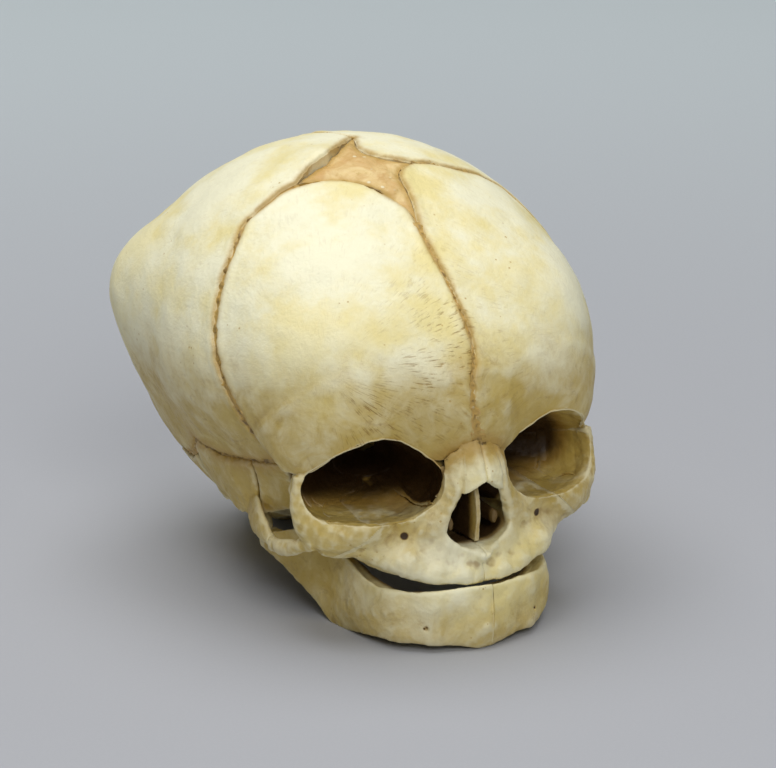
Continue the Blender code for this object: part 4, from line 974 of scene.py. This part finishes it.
def make_parietal(side, settings):
    bottom = chain(side_seam(SQUAMOUS, side), side_seam(PARIETAL_HEEL, side))
    top = MIDDLE_TOP[::-1]
    if side > 0:
        front = chain(SIDE_CORONAL[1], LEFT_BACK)
        top = chain(LEFT_CORNER, top)
    else:
        front = chain(SIDE_CORONAL[-1], CROWN_BACK[-1])
    gap = settings.seam_gap
    return vault_plate(f"parietal_bone_{side_name(side)}", (bottom, top, front, side_seam(LAMBDOID, side)),
                       170, 170, (gap, gap, gap, gap), settings.bone_thickness, 50 + side,
                       raised=CROWN_CORNER if side < 0 else None)


def make_occipital(settings):
    half_foot = seam(around(OCCIPITAL_FOOT))
    lambdoid = side_seam(LAMBDOID, 1)
    side = chain(seam(around(OCCIPITAL_SIDE)), lambdoid[:-16])
    top = lambdoid[-17:]
    gap = settings.seam_gap
    plate = vault_plate("occipital_squama_bone",
                        (chain(half_foot, mirrored(half_foot)[::-1]), chain(top, mirrored(top)[::-1]),
                         side, mirrored(side)), 180, 150, (gap, gap, gap, gap), settings.bone_thickness, 80)
    write_points(plate.data, cut_at(read_points(plate.data), np.zeros(3), np.array([0.0, 0.0, -1.0])))
    return plate


def make_membrane():
    """The soft spot, sunk a little under the edges of the bones, and the filling of the seams."""
    edges = (CROWN_FRONT[1], CROWN_BACK[-1], CROWN_FRONT[-1], CROWN_BACK[1])
    directions = seam_patch(edges, 120, 120, (-1.6, -1.6, -1.6, -1.6), 90)
    outer = on_braincase(directions, -0.62)
    edge = grid_edge_distance(outer)
    lift = 0.22 * ripple(outer, 6, 91) + 0.10 * ripple(outer, 2.2, 92) - 0.30 * np.exp(-(edge / 1.6)**2)
    outer = outer + lift[..., None] * directions
    parts = [shell("cover", outer, outer - 0.9 * directions)]
    lines = [MIDDLE_FRONT, MIDDLE_TOP] + [SIDE_CORONAL[side] for side in SIDES]
    for side in SIDES:
        lines += [chain(side_seam(SQUAMOUS, side), side_seam(PARIETAL_HEEL, side)), side_seam(LAMBDOID, side)]
    for index, line in enumerate(lines):
        parts.append(seam_filling(line, 100 + 3 * index))
    return join("fontanelle_membrane", parts)


def seam_filling(line, seed, half=1.3, sunk=0.62, thick=0.9):
    """A narrow uneven strip under a seam."""
    line = unit(walk(line, np.linspace(0, 1, 260)))
    along = unit(np.gradient(line, axis=0))
    across = np.cross(line, along)
    shares = np.linspace(-1, 1, 9)
    spread = line[:, None] + across[:, None] * shares[None, :, None] * half / HALF_WIDTH
    place = on_braincase(spread, -sunk)
    lift = 0.16 * ripple(place, 1.8, seed) + 0.08 * ripple(place, 0.8, seed + 1)
    place = place + lift[..., None] * unit(spread)
    return shell("filling", place, place - thick * unit(spread))


# The face bones

MAXILLA_SHARES = (
    (0.0000, ((0.972, 0.272), (1.004, 0.300), (0.988, 0.356), (1.024, 0.398), (0.950, 0.428),
              (0.760, 0.420), (0.540, 0.400), (0.530, 0.368), (0.740, 0.356), (0.900, 0.296))),
    (0.0875, ((0.976, 0.276), (1.008, 0.304), (0.984, 0.360), (0.978, 0.424), (0.936, 0.436),
              (0.760, 0.420), (0.540, 0.400), (0.530, 0.368), (0.740, 0.352), (0.896, 0.296))),
    (0.1750, ((0.972, 0.284), (1.002, 0.312), (0.978, 0.372), (0.960, 0.472), (0.924, 0.484),
              (0.760, 0.460), (0.540, 0.432), (0.520, 0.376), (0.730, 0.348), (0.884, 0.296))),
    (0.2500, ((0.956, 0.292), (0.986, 0.320), (0.960, 0.388), (0.932, 0.500), (0.904, 0.620),
              (0.760, 0.620), (0.520, 0.620), (0.490, 0.430), (0.700, 0.336), (0.868, 0.296))),
    (0.3500, ((0.928, 0.316), (0.960, 0.342), (0.940, 0.400), (0.900, 0.500), (0.892, 0.610),
              (0.740, 0.620), (0.500, 0.620), (0.470, 0.430), (0.620, 0.320), (0.830, 0.300))),
    (0.4375, ((0.880, 0.340), (0.920, 0.364), (0.912, 0.410), (0.880, 0.492), (0.876, 0.596),
              (0.720, 0.610), (0.500, 0.610), (0.470, 0.430), (0.560, 0.328), (0.740, 0.308))),
    (0.5125, ((0.780, 0.364), (0.848, 0.382), (0.860, 0.420), (0.860, 0.480), (0.868, 0.580),
              (0.720, 0.600), (0.520, 0.600), (0.500, 0.450), (0.560, 0.360), (0.660, 0.336))),
    (0.6125, ((0.760, 0.392), (0.792, 0.400), (0.816, 0.424), (0.836, 0.480), (0.840, 0.572),
              (0.740, 0.590), (0.660, 0.580), (0.630, 0.500), (0.660, 0.436), (0.710, 0.398))),
    (0.7125, ((0.728, 0.400), (0.756, 0.408), (0.776, 0.436), (0.792, 0.500), (0.796, 0.572),
              (0.720, 0.588), (0.660, 0.580), (0.636, 0.510), (0.660, 0.440), (0.696, 0.404))),
    (0.7750, ((0.704, 0.410), (0.728, 0.416), (0.744, 0.440), (0.752, 0.490), (0.750, 0.540),
              (0.700, 0.550), (0.660, 0.540), (0.640, 0.500), (0.656, 0.446), (0.684, 0.412))),
)
NOSE_WALL_SHARES = (
    ((0.210, 0.880, 0.420), (0.360, 0.850, 0.420), 0.060),
    ((0.188, 0.920, 0.490), (0.350, 0.880, 0.490), 0.062),
    ((0.165, 0.938, 0.560), (0.300, 0.880, 0.560), 0.060),
    ((0.140, 0.958, 0.620), (0.250, 0.884, 0.620), 0.056),
    ((0.117, 0.968, 0.680), (0.210, 0.890, 0.680), 0.052),
    ((0.102, 0.964, 0.750), (0.188, 0.894, 0.730), 0.048),
    ((0.095, 0.948, 0.815), (0.172, 0.896, 0.770), 0.042),
    ((0.090, 0.926, 0.856), (0.172, 0.884, 0.806), 0.034),
)
NASAL_SHARES = (
    ((0.000, 1.022, 0.730), (0.112, 0.978, 0.668), 0.034),
    ((0.000, 1.004, 0.772), (0.108, 0.972, 0.724), 0.036),
    ((0.000, 0.980, 0.812), (0.100, 0.954, 0.780), 0.042),
    ((0.000, 0.956, 0.848), (0.096, 0.932, 0.824), 0.042),
    ((0.000, 0.934, 0.884), (0.092, 0.912, 0.866), 0.036),
)
CHEEK_SHARES = (
    ((0.320, 0.868, 0.572), (0.450, 0.830, 0.440), 0.040),
    ((0.450, 0.878, 0.572), (0.585, 0.790, 0.418), 0.064),
    ((0.562, 0.868, 0.568), (0.690, 0.765, 0.428), 0.074),
    ((0.670, 0.822, 0.566), (0.760, 0.735, 0.436), 0.078),
    ((0.770, 0.766, 0.574), (0.825, 0.675, 0.452), 0.076),
    ((0.828, 0.712, 0.616), (0.876, 0.640, 0.560), 0.076),
    ((0.846, 0.686, 0.680), (0.880, 0.632, 0.660), 0.062),
    ((0.836, 0.684, 0.744), (0.864, 0.630, 0.748), 0.058),
)
CHEEK_SUTURE_SHARES = ((0.515, 0.564), (0.735, 0.400))
ARCH_SHARES = ((0.800, 0.720, 0.480), (0.845, 0.610, 0.424), (0.865, 0.500, 0.392), (0.863, 0.408, 0.376))
PROCESS_SHARES = ((0.858, 0.396, 0.384), (0.842, 0.260, 0.420), (0.790, 0.130, 0.430), (0.715, 0.020, 0.440))
JAW_SHARES = (
    ((-0.070, 1.046), 0.000, 0.276, 0.00, 1.00),
    ((0.040, 1.050), 0.000, 0.276, 0.00, 1.00),
    ((0.150, 1.030), 0.020, 0.272, 0.00, 1.00),
    ((0.300, 0.990), 0.030, 0.266, 0.00, 1.00),
    ((0.425, 0.924), 0.036, 0.262, 0.00, 1.00),
    ((0.510, 0.824), 0.036, 0.264, 0.00, 1.00),
    ((0.545, 0.700), 0.020, 0.284, 0.00, 0.95),
    ((0.556, 0.590), -0.006, 0.318, 0.00, 0.90),
    ((0.572, 0.480), -0.008, 0.352, 0.01, 0.80),
    ((0.630, 0.370), 0.096, 0.400, 0.03, 0.60),
    ((0.685, 0.280), 0.170, 0.374, 0.02, 0.55),
    ((0.740, 0.200), 0.225, 0.345, 0.00, 0.70),
    ((0.770, 0.130), 0.256, 0.336, 0.00, 0.85),
)
JAW_SECTION_SHARES = ((-0.62, 0.00), (-0.20, 0.00), (-0.04, 0.14), (0.00, 0.45), (-0.06, 0.80), (-0.14, 1.00),
                      (-0.50, 0.90), (-0.90, 0.86), (-1.00, 0.55), (-0.92, 0.16))
JAW_THICKNESS = 6.2
JAW_SEAM_OFFSET = 1.0

# Tooth germs, hollows and holes: place shares, radius and height in millimetres
MAXILLA_BUMPS = (
    (0.385, 0.915, 0.400, 2.6, 1.55), (0.245, 0.960, 0.350, 2.0, 0.95), (0.110, 0.990, 0.330, 1.8, 0.80),
    (0.510, 0.850, 0.390, 2.6, 0.50), (0.310, 0.950, 0.450, 2.8, -0.45), (0.440, 0.900, 0.480, 3.0, -0.45),
    (0.180, 0.975, 0.400, 2.2, -0.30), (0.320, 0.940, 0.330, 1.6, -0.30), (0.600, 0.800, 0.450, 3.0, -0.40),
    (0.030, 1.020, 0.405, 1.0, 0.90), (0.085, 0.990, 0.440, 0.9, 0.70), (0.060, 1.000, 0.360, 1.2, -0.30),
)
JAW_BUMPS = (
    (0.300, 0.994, 0.220, 3.0, 0.60), (0.470, 0.880, 0.215, 3.2, 0.55), (0.150, 1.040, 0.215, 2.6, 0.45),
    (0.390, 0.960, 0.130, 3.8, -0.60), (0.220, 1.020, 0.110, 3.2, -0.50), (0.020, 1.050, 0.180, 1.3, 0.30),
    (0.020, 1.050, 0.100, 1.3, 0.30),
    (0.560, 0.640, 0.200, 3.6, 0.40), (0.300, 0.994, 0.040, 3.0, 0.50), (0.060, 1.050, 0.240, 1.6, -0.30),
)
INFRAORBITAL_SHARES = (0.395, 0.905, 0.500)
MENTAL_SHARES = (0.330, 0.980, 0.110)


def strip_rings(stations, side, columns=16, blunt=1.0):
    """Rings of a flat strip, from its inner edge, outer edge and thickness share.

    Each ring is |cos|^blunt across and |sin|^blunt through: an ellipse at 1, with fuller edges below it.
    """
    turn = np.arange(columns) / columns * 2 * math.pi
    across_share = np.sign(np.cos(turn)) * np.abs(np.cos(turn))**blunt
    through_share = np.sign(np.sin(turn)) * np.abs(np.sin(turn))**blunt
    inner = np.array([face(*station[0], side) for station in stations])
    outer = np.array([face(*station[1], side) for station in stations])
    thick = np.array([station[2] for station in stations]) * FACE_BOX[2]
    along = unit(np.gradient((inner + outer) / 2, axis=0))
    normal = unit(np.cross(along, outer - inner))
    return ((inner + outer)[:, None] / 2 + across_share[None, :, None] * (outer - inner)[:, None] / 2
            + through_share[None, :, None] * (normal * thick[:, None] / 2)[:, None])


def bar_rings(path_shares, heights, widths, side, columns=10):
    """Ellipse rings of a bar along a path; heights and widths are shares of the face's height."""
    path = np.array([face(*share, side) for share in path_shares])
    outward = unit(np.cross(unit(np.gradient(path, axis=0)), (0.0, 0.0, 1.0)))
    turn = np.arange(columns) / columns * 2 * math.pi
    wide, tall = np.array(widths) * FACE_BOX[2], np.array(heights) * FACE_BOX[2]
    return (path[:, None] + np.cos(turn)[None, :, None] * (outward * wide[:, None])[:, None]
            + np.sin(turn)[None, :, None] * np.array([0.0, 0.0, 1.0]) * tall[:, None, None])


def cheek_plane(side):
    (x0, z0), (x1, z1) = CHEEK_SUTURE_SHARES
    upper, lower = face(x0, 0.85, z0, side), face(x1, 0.85, z1, side)
    normal = unit(np.cross(unit(lower - upper), (0.0, 1.0, 0.0)))
    return upper, normal if normal[0] * side > 0 else -normal


def drill(points, normals, share, side, radius, depth):
    """A small hole: sinks the points round a place by depth * (1 - smoothstep of the distance)."""
    gap = np.linalg.norm(points - face(*share, side), axis=1)
    return points - (depth * (1 - smooth_step(gap, 0.55 * radius, 1.25 * radius)))[:, None] * normals


def make_cheek_and_maxilla(side):
    """One skin for the upper jaw, the cheekbone and the nasal bone, parted along their sutures."""
    rings = [[face(across, forward, up, side) for forward, up in ring] for across, ring in MAXILLA_SHARES]
    parts = [
        tube("body", loft(rings, 90, 90)),
        tube("nose_wall", loft(strip_rings(NOSE_WALL_SHARES, side, blunt=0.6), 70, 40)),
        socket_sheet("floor", side, (9.4, 12.8), (0.02, 0.82), 1.3, (70, 50), 130 + side),
        tube("cheek", loft(strip_rings(CHEEK_SHARES, side), 90, 60)),
        tube("arch", loft(bar_rings(ARCH_SHARES, (0.050, 0.036, 0.031, 0.030), (0.036, 0.024, 0.022, 0.022),
                                    side), 50, 30)),
        socket_sheet("wall", side, (5.95, 9.6), (0.0, 0.42), 1.3, (70, 30), 140 + side),
        tube("bridge", loft(strip_rings(NASAL_SHARES, side, blunt=0.6), 60, 48)),
    ]
    skin = fuse(join("skin", parts), 0.30, 5)
    points = clear_socket(read_points(skin.data), side)
    write_points(skin.data, points)
    points = bumps(points, read_normals(skin.data), MAXILLA_BUMPS, side)
    rim = loop(rim_points(side), np.linspace(0.42, 0.97, 300))
    crest = 0.42 * np.exp(-(nearest(points, rim) / 0.75)**2)
    points = points + crest[:, None] * unit(rim.mean(axis=0) - face(*APEX_SHARES, side))
    write_points(skin.data, points)
    normals = read_normals(skin.data)
    points = roughen(points, normals, 0.18, 0.07, 120 + side)
    points = drill(points, normals, INFRAORBITAL_SHARES, side, 0.75, 2.4)
    write_points(skin.data, points)
    name = side_name(side)
    point, normal = cheek_plane(side)
    part_off(skin, np.array([side * 0.015, 0, 0]), np.array([-side, 0.0, 0.0]))
    cheek = bpy.data.objects.new(f"zygomatic_bone_{name}", skin.data.copy())
    bpy.context.scene.collection.objects.link(cheek)
    part_off(cheek, point + 0.03 * normal, -normal)
    part_off(skin, point - 0.03 * normal, normal)
    low, high = face(*NASAL_SHARES[0][1], side), face(*NASAL_SHARES[-1][1], side)
    across = unit(np.cross(high - low, (0.0, 1.0, 0.0)))
    across = across if across[0] * side < 0 else -across
    planes = ((low, across), (low - (0.0, 0.0, 1.0), np.array([0.0, 0.0, 1.0])))
    nose = wedge(skin, f"nasal_bone_{name}", planes, True)
    jaw = wedge(skin, f"maxilla_bone_{name}", planes, False)
    bpy.data.objects.remove(skin)
    return jaw, cheek, nose


def temple_swell(side):
    azimuth, elevation, height, spread = TEMPLE_SWELL
    return direction(side * azimuth, elevation), height, spread


def make_temporal(side):
    edges = [side_seam(edge, side) for edge in TEMPORAL_EDGES]
    plate = vault_plate("squama", edges, 90, 80, (0.4, 0.3, 0.06, 0.5), 2.0, 170 + side,
                        raised=temple_swell(side))
    process = tube("process", loft(bar_rings(PROCESS_SHARES, (0.028, 0.070, 0.102, 0.112),
                                             (0.022, 0.022, 0.030, 0.046), side), 60, 36))
    piece = fuse(join(f"temporal_squama_bone_{side_name(side)}", [plate, process]), 0.28, 4)
    roughen_piece(piece, 0.10, 0.05, 180 + side)
    return piece


def make_greater_wing(side):
    name = side_name(side)
    edges = [side_seam(edge, side) for edge in WING_EDGES]
    plate = vault_plate("side", edges, 60, 80, (0.2, 0.3, 0.1, 0.06), 2.2, 204 + side,
                        raised=temple_swell(side))
    body = fuse(join("wing", [copy_of(f"sphenoid_greater_wing_{name}", "core"), plate]), 0.28, 5)
    roughen_piece(body, 0.10, 0.05, 200 + side)
    wall = socket_sheet("wall", side, (5.95, 9.5), (0.36, 0.95), 1.5, (70, 50), 206 + side)
    return join(f"greater_wing_bone_{name}", [body, wall])


def refined(node, name, voxel, smoothing, seed, broad, fine):
    """A finer skin over a packed bone: even faces, relaxed, with uneven bone on them."""
    piece = fuse(copy_of(node, name), voxel, smoothing)
    roughen_piece(piece, broad, fine, seed)
    return piece


def dress_refined(node, name, finish, voxel, smoothing, seed, broad=0.10, fine=0.05):
    """Refines a packed bone of the cranium and hands it over."""
    dress(refined(node, name, voxel, smoothing, seed, broad, fine), [node], "cranium", finish)


def make_mandible(side):
    outer = np.array([face(x, y, 0, side) for (x, y), _, _, _, _ in JAW_SHARES])
    along = unit(np.gradient(outer, axis=0))
    outward = unit(np.cross(along, (0.0, 0.0, 1.0)))
    if outward[3][0] * side < 0:
        outward = -outward
    rings = []
    for place, out, (_, low, high, lean, thick) in zip(outer, outward, JAW_SHARES):
        rings.append([place + out * (share * thick * JAW_THICKNESS + lean * up * FACE_BOX[0])
                      + np.array([0.0, 0.0, (low + (high - low) * up) * FACE_BOX[2]])
                      for share, up in JAW_SECTION_SHARES])
    piece = tube(f"mandible_bone_{side_name(side)}", loft(rings, 230, 110))
    points = bumps(read_points(piece.data), read_normals(piece.data), JAW_BUMPS, side)
    write_points(piece.data, points)
    normals = read_normals(piece.data)
    points = roughen(points, normals, 0.14, 0.05, 220 + side)
    points = drill(points, normals, MENTAL_SHARES, side, 0.55, 1.1)
    points = cut_at(points, np.array([JAW_SEAM_OFFSET + side * 0.006, 0, 0]), np.array([-side, 0.0, 0.0]))
    write_points(piece.data, cut_at(points, np.zeros(3), np.array([0.0, 0.0, -1.0])))
    return piece


# Settings

def colour_property(name, description, default):
    return bpy.props.FloatVectorProperty(name=name, description=description, default=default, size=3,
                                         min=0.0, max=1.0, subtype="COLOR")


class SkullSettings(bpy.types.PropertyGroup):
    """Sizes in millimetres and colours of the newborn skull."""

    bone_thickness: bpy.props.FloatProperty(
        name="Bone thickness", description="Thickness of the braincase bones in millimetres",
        default=2.0, min=1.0, max=3.0)
    seam_gap: bpy.props.FloatProperty(
        name="Seam gap", description="Width of an open seam between bones in millimetres",
        default=0.42, min=0.2, max=2.0)
    ivory: colour_property("Ivory", "Palest bone", linear(255, 251, 218))
    cream: colour_property("Cream", "Bone in its middle tone", linear(247, 232, 164))
    ochre: colour_property("Ochre", "Bone where it is warm and stained", linear(200, 170, 78))
    # Umber and crack are also the colours of the painted shade in hollows and holes
    umber: colour_property("Umber", "Brown in patches, streaks and hollows", linear(156, 118, 48))
    gold: colour_property("Gold", "Golden brown beside the seams", linear(192, 156, 78))
    crack: colour_property("Crack", "Darkest brown in seams and holes", linear(58, 38, 14))
    membrane: colour_property("Membrane", "Dried membrane", linear(214, 172, 104))
    membrane_light: colour_property("Pale membrane", "Paler patches of the membrane", linear(240, 212, 150))
    floor: colour_property("Floor", "Floor of the stage", linear(178, 180, 186))
    # The backdrop tone is painted lighter than the floor, as painted light where the lamps reach the paper
    # less
    backdrop: colour_property("Backdrop", "Backdrop of the stage", linear(205, 215, 219))


# Operators

class SKULL_OT_finishes(bpy.types.Operator):
    """Makes the materials of the bones and the membrane"""

    bl_idname = "skull.finishes"
    bl_label = "Materials"

    def execute(self, context):
        settings = context.scene.skull_settings
        bone_finish("braincase_bone", settings)
        bone_finish("face_bone", settings)
        # inner_shaded_bone and shaded_bone are bone with painted shade all over, the first lighter, for bones
        # that lie deep in the nose, the sockets and the base
        bone_finish("inner_shaded_bone", settings, 0.45, 0.24)
        bone_finish("shaded_bone", settings, 0.45, 0.62)
        membrane_finish(settings)
        return {"FINISHED"}


class SKULL_OT_braincase(bpy.types.Operator):
    """Makes the frontal, parietal and occipital bones"""

    bl_idname = "skull.braincase"
    bl_label = "Braincase"

    def execute(self, context):
        settings = context.scene.skull_settings
        finish = "braincase_bone"
        for side in SIDES:
            name = side_name(side)
            dress(make_frontal(side, settings), [f"frontal_{name}"], "cranium", finish,
                  (side * 33, 10.5))
            dress(make_parietal(side, settings), [f"parietal_{name}"], "cranium", finish,
                  (side * 122, 16))
        dress(make_occipital(settings), ["occipital_squama"], "cranium", finish, (180, -8))
        return {"FINISHED"}


class SKULL_OT_soft_spot(bpy.types.Operator):
    """Makes the membrane of the soft spot and the filling of the seams"""

    bl_idname = "skull.soft_spot"
    bl_label = "Soft spot"

    def execute(self, context):
        dress(make_membrane(), ["anterior_fontanelle_membrane"], "cranium",
              "dried_membrane")
        return {"FINISHED"}


class SKULL_OT_temporal(bpy.types.Operator):
    """Makes the temporal bones and the rings of the ears"""

    bl_idname = "skull.temporal"
    bl_label = "Temporal bones"

    def execute(self, context):
        for side in SIDES:
            name = side_name(side)
            dress(make_temporal(side), [f"temporal_squama_{name}"], "cranium", "face_bone")
            dress_refined(f"petrous_temporal_{name}", f"petrous_bone_{name}", "face_bone",
                          0.30, 7, 230)
            dress_refined(f"tympanic_ring_{name}", f"ear_ring_bone_{name}", "face_bone",
                          0.20, 5, 240, 0.03, 0.02)
        return {"FINISHED"}


class SKULL_OT_base(bpy.types.Operator):
    """Makes the bones of the base"""

    bl_idname = "skull.base"
    bl_label = "Base"

    def execute(self, context):
        for side in SIDES:
            name = side_name(side)
            dress(make_greater_wing(side), [f"sphenoid_greater_wing_{name}"], "cranium",
                  "face_bone")
            dress_refined(f"exoccipital_{name}", f"exoccipital_bone_{name}", "face_bone",
                          0.30, 6, 250)
        dress_refined("basioccipital", "basioccipital_bone", "face_bone", 0.30, 8, 260)
        # The body of the sphenoid and the caps at the back of the sockets take painted shade all over
        parts = [refined("sphenoid_body", "core", 0.30, 8, 270, 0.10, 0.05)]
        for side in SIDES:
            parts.append(socket_sheet("cap", side, (0, RIM_COUNT), (0.80, 1.0), 0.8, (60, 16), 276))
        dress(join("sphenoid_body_bone", parts), ["sphenoid_body"], "cranium",
              "shaded_bone")
        return {"FINISHED"}


class SKULL_OT_upper_jaw(bpy.types.Operator):
    """Makes the upper jaw, the cheekbones, the nose and what stands inside it"""

    bl_idname = "skull.upper_jaw"
    bl_label = "Upper jaw, cheeks and nose"

    def execute(self, context):
        for side in SIDES:
            name = side_name(side)
            maxilla, cheek, nose = make_cheek_and_maxilla(side)
            for piece, node in ((maxilla, "maxilla"), (cheek, "zygomatic"), (nose, "nasal")):
                dress(piece, [f"{node}_{name}"], "cranium", "face_bone")
            tear = socket_sheet(f"lacrimal_bone_{name}", side, (12.5, 14.4), (0.02, 0.28), 1.0, (40, 24), 282)
            dress(tear, [f"lacrimal_{name}"], "cranium", "face_bone")
            inner = socket_sheet(f"ethmoid_bone_{name}", side, (11.9, 14.5), (0.27, 0.95), 1.0, (60, 50), 284)
            dress(inner, [f"ethmoid_{name}"], "cranium", "face_bone")
            # The palatine bones and the conchae take painted shade all over
            for node in ("palatine", "inferior_concha"):
                dress_refined(f"{node}_{name}", f"{node}_bone_{name}", "shaded_bone",
                              0.22, 4, 280, 0.08, 0.05)
        # The vomer takes a lighter painted shade all over
        dress_refined("vomer", "vomer_bone", "inner_shaded_bone", 0.22, 3, 290, 0.12, 0.04)
        return {"FINISHED"}


class SKULL_OT_lower_jaw(bpy.types.Operator):
    """Makes the two halves of the lower jaw"""

    bl_idname = "skull.lower_jaw"
    bl_label = "Lower jaw"

    def execute(self, context):
        for side in SIDES:
            dress(make_mandible(side), [f"mandible_{side_name(side)}"], "mandible",
                  "face_bone")
        return {"FINISHED"}


def camera_basis():
    a, e = math.radians(CAMERA_AZIMUTH), math.radians(CAMERA_ELEVATION)
    back = np.array([math.sin(a) * math.cos(e), -math.cos(a) * math.cos(e), math.sin(e)])
    right = np.array([math.cos(a), math.sin(a), 0.0])
    return right, np.cross(back, right), back


def add_lamp(name, place, size, power, aim):
    lamp = bpy.data.lights.new(name, "AREA")
    lamp.size = size
    lamp.energy = power
    holder = bpy.data.objects.new(name, lamp)
    bpy.context.scene.collection.objects.link(holder)
    holder.location = place
    holder.rotation_euler = (Vector(aim) - Vector(place)).to_track_quat("-Z", "Y").to_euler()


def studio_world():
    """Soft light from all round; the camera sees a plain pale backdrop instead of it."""
    world = bpy.data.worlds.new("studio_world")
    world.use_nodes = True
    nodes, links = world.node_tree.nodes, world.node_tree.links
    soft = nodes["Background"]
    soft.inputs["Color"].default_value = (*linear(214, 212, 206), 1.0)
    soft.inputs["Strength"].default_value = 0.16
    seen = nodes.new("ShaderNodeBackground")
    seen.inputs["Color"].default_value = (*linear(182, 190, 194), 1.0)
    seen.inputs["Strength"].default_value = 1.0
    way = nodes.new("ShaderNodeLightPath")
    mixed = nodes.new("ShaderNodeMixShader")
    links.new(way.outputs["Is Camera Ray"], mixed.inputs[0])
    links.new(soft.outputs["Background"], mixed.inputs[1])
    links.new(seen.outputs["Background"], mixed.inputs[2])
    links.new(mixed.outputs["Shader"], nodes["World Output"].inputs["Surface"])
    return world


class SKULL_OT_stage(bpy.types.Operator):
    """Makes the floor and backdrop, the lamps and the camera"""

    bl_idname = "skull.stage"
    bl_label = "Stage"

    def execute(self, context):
        scene = context.scene
        settings = scene.skull_settings
        right, up, back = camera_basis()
        across = np.linspace(-SWEEP_REACH, SWEEP_REACH, SWEEP_COLUMNS)
        depth = np.linspace(-SWEEP_FRONT, SWEEP_REACH, SWEEP_ROWS)
        rise = SWEEP_CURVE * np.maximum(depth - SWEEP_BEND, 0)**2
        ahead = unit(-back * (1, 1, 0))
        points = (depth[:, None, None] * ahead + across[None, :, None] * right
                  + rise[:, None, None] * np.array([0.0, 0.0, 1.0]))
        mesh = bpy.data.meshes.new("studio_sweep")
        quads = grid_quads(SWEEP_ROWS, SWEEP_COLUMNS)[:, ::-1]
        mesh.from_pydata(points.reshape(-1, 3).tolist(), [], quads.tolist())
        mesh.polygons.foreach_set("use_smooth", np.ones(len(mesh.polygons), bool))
        sweep = bpy.data.objects.new("studio_sweep", mesh)
        scene.collection.objects.link(sweep)
        mesh.materials.append(stage_finish("studio_paper", settings.floor, settings.backdrop))
        add_lamp("top_box", place=(-0.10, 0.20, 1.55), size=1.5, power=21.0, aim=(0, 0.15, 0.0))
        add_lamp("front_box", place=(-0.32, -1.00, 0.80), size=0.5, power=5.5, aim=(0, 0, 0.04))
        scene.world = studio_world()
        lens = bpy.data.cameras.new("photo_camera")
        camera = bpy.data.objects.new("photo_camera", lens)
        scene.collection.objects.link(camera)
        eye = (np.array(CAMERA_TARGET) + PLACE + back * CAMERA_DISTANCE) * MM
        basis = np.eye(4)
        basis[:3, 0], basis[:3, 1], basis[:3, 2], basis[:3, 3] = right, up, back, eye
        camera.matrix_world = Matrix(basis.tolist())
        lens.sensor_width = 36.0
        lens.lens = CAMERA_LENS
        lens.shift_x = CAMERA_SHIFT[0] / PHOTO_WIDTH
        lens.shift_y = CAMERA_SHIFT[1] / PHOTO_WIDTH
        scene.camera = camera
        scene.view_settings.view_transform = "Standard"
        return {"FINISHED"}


class SKULL_PT_panel(bpy.types.Panel):
    """Lists the steps and the settings"""

    bl_idname = "SKULL_PT_panel"
    bl_label = "Newborn skull"
    bl_space_type = "VIEW_3D"
    bl_region_type = "UI"
    bl_category = "Skull"

    def draw(self, context):
        for name in SkullSettings.__annotations__:
            self.layout.prop(context.scene.skull_settings, name)
        for step in STEPS:
            self.layout.operator(step.bl_idname)


STEPS = (SKULL_OT_finishes, SKULL_OT_braincase, SKULL_OT_soft_spot, SKULL_OT_temporal, SKULL_OT_base,
         SKULL_OT_upper_jaw, SKULL_OT_lower_jaw, SKULL_OT_stage)


def register():
    for item in (SkullSettings, *STEPS, SKULL_PT_panel):
        bpy.utils.register_class(item)
    bpy.types.Scene.skull_settings = bpy.props.PointerProperty(type=SkullSettings)


def unregister():
    del bpy.types.Scene.skull_settings
    for item in reversed((SkullSettings, *STEPS, SKULL_PT_panel)):
        bpy.utils.unregister_class(item)


def main():
    register()
    bpy.ops.skull.finishes()
    bpy.ops.skull.braincase()
    bpy.ops.skull.soft_spot()
    bpy.ops.skull.temporal()
    bpy.ops.skull.base()
    bpy.ops.skull.upper_jaw()
    bpy.ops.skull.lower_jaw()
    bpy.ops.skull.stage()


if __name__ == "__main__":
    main()
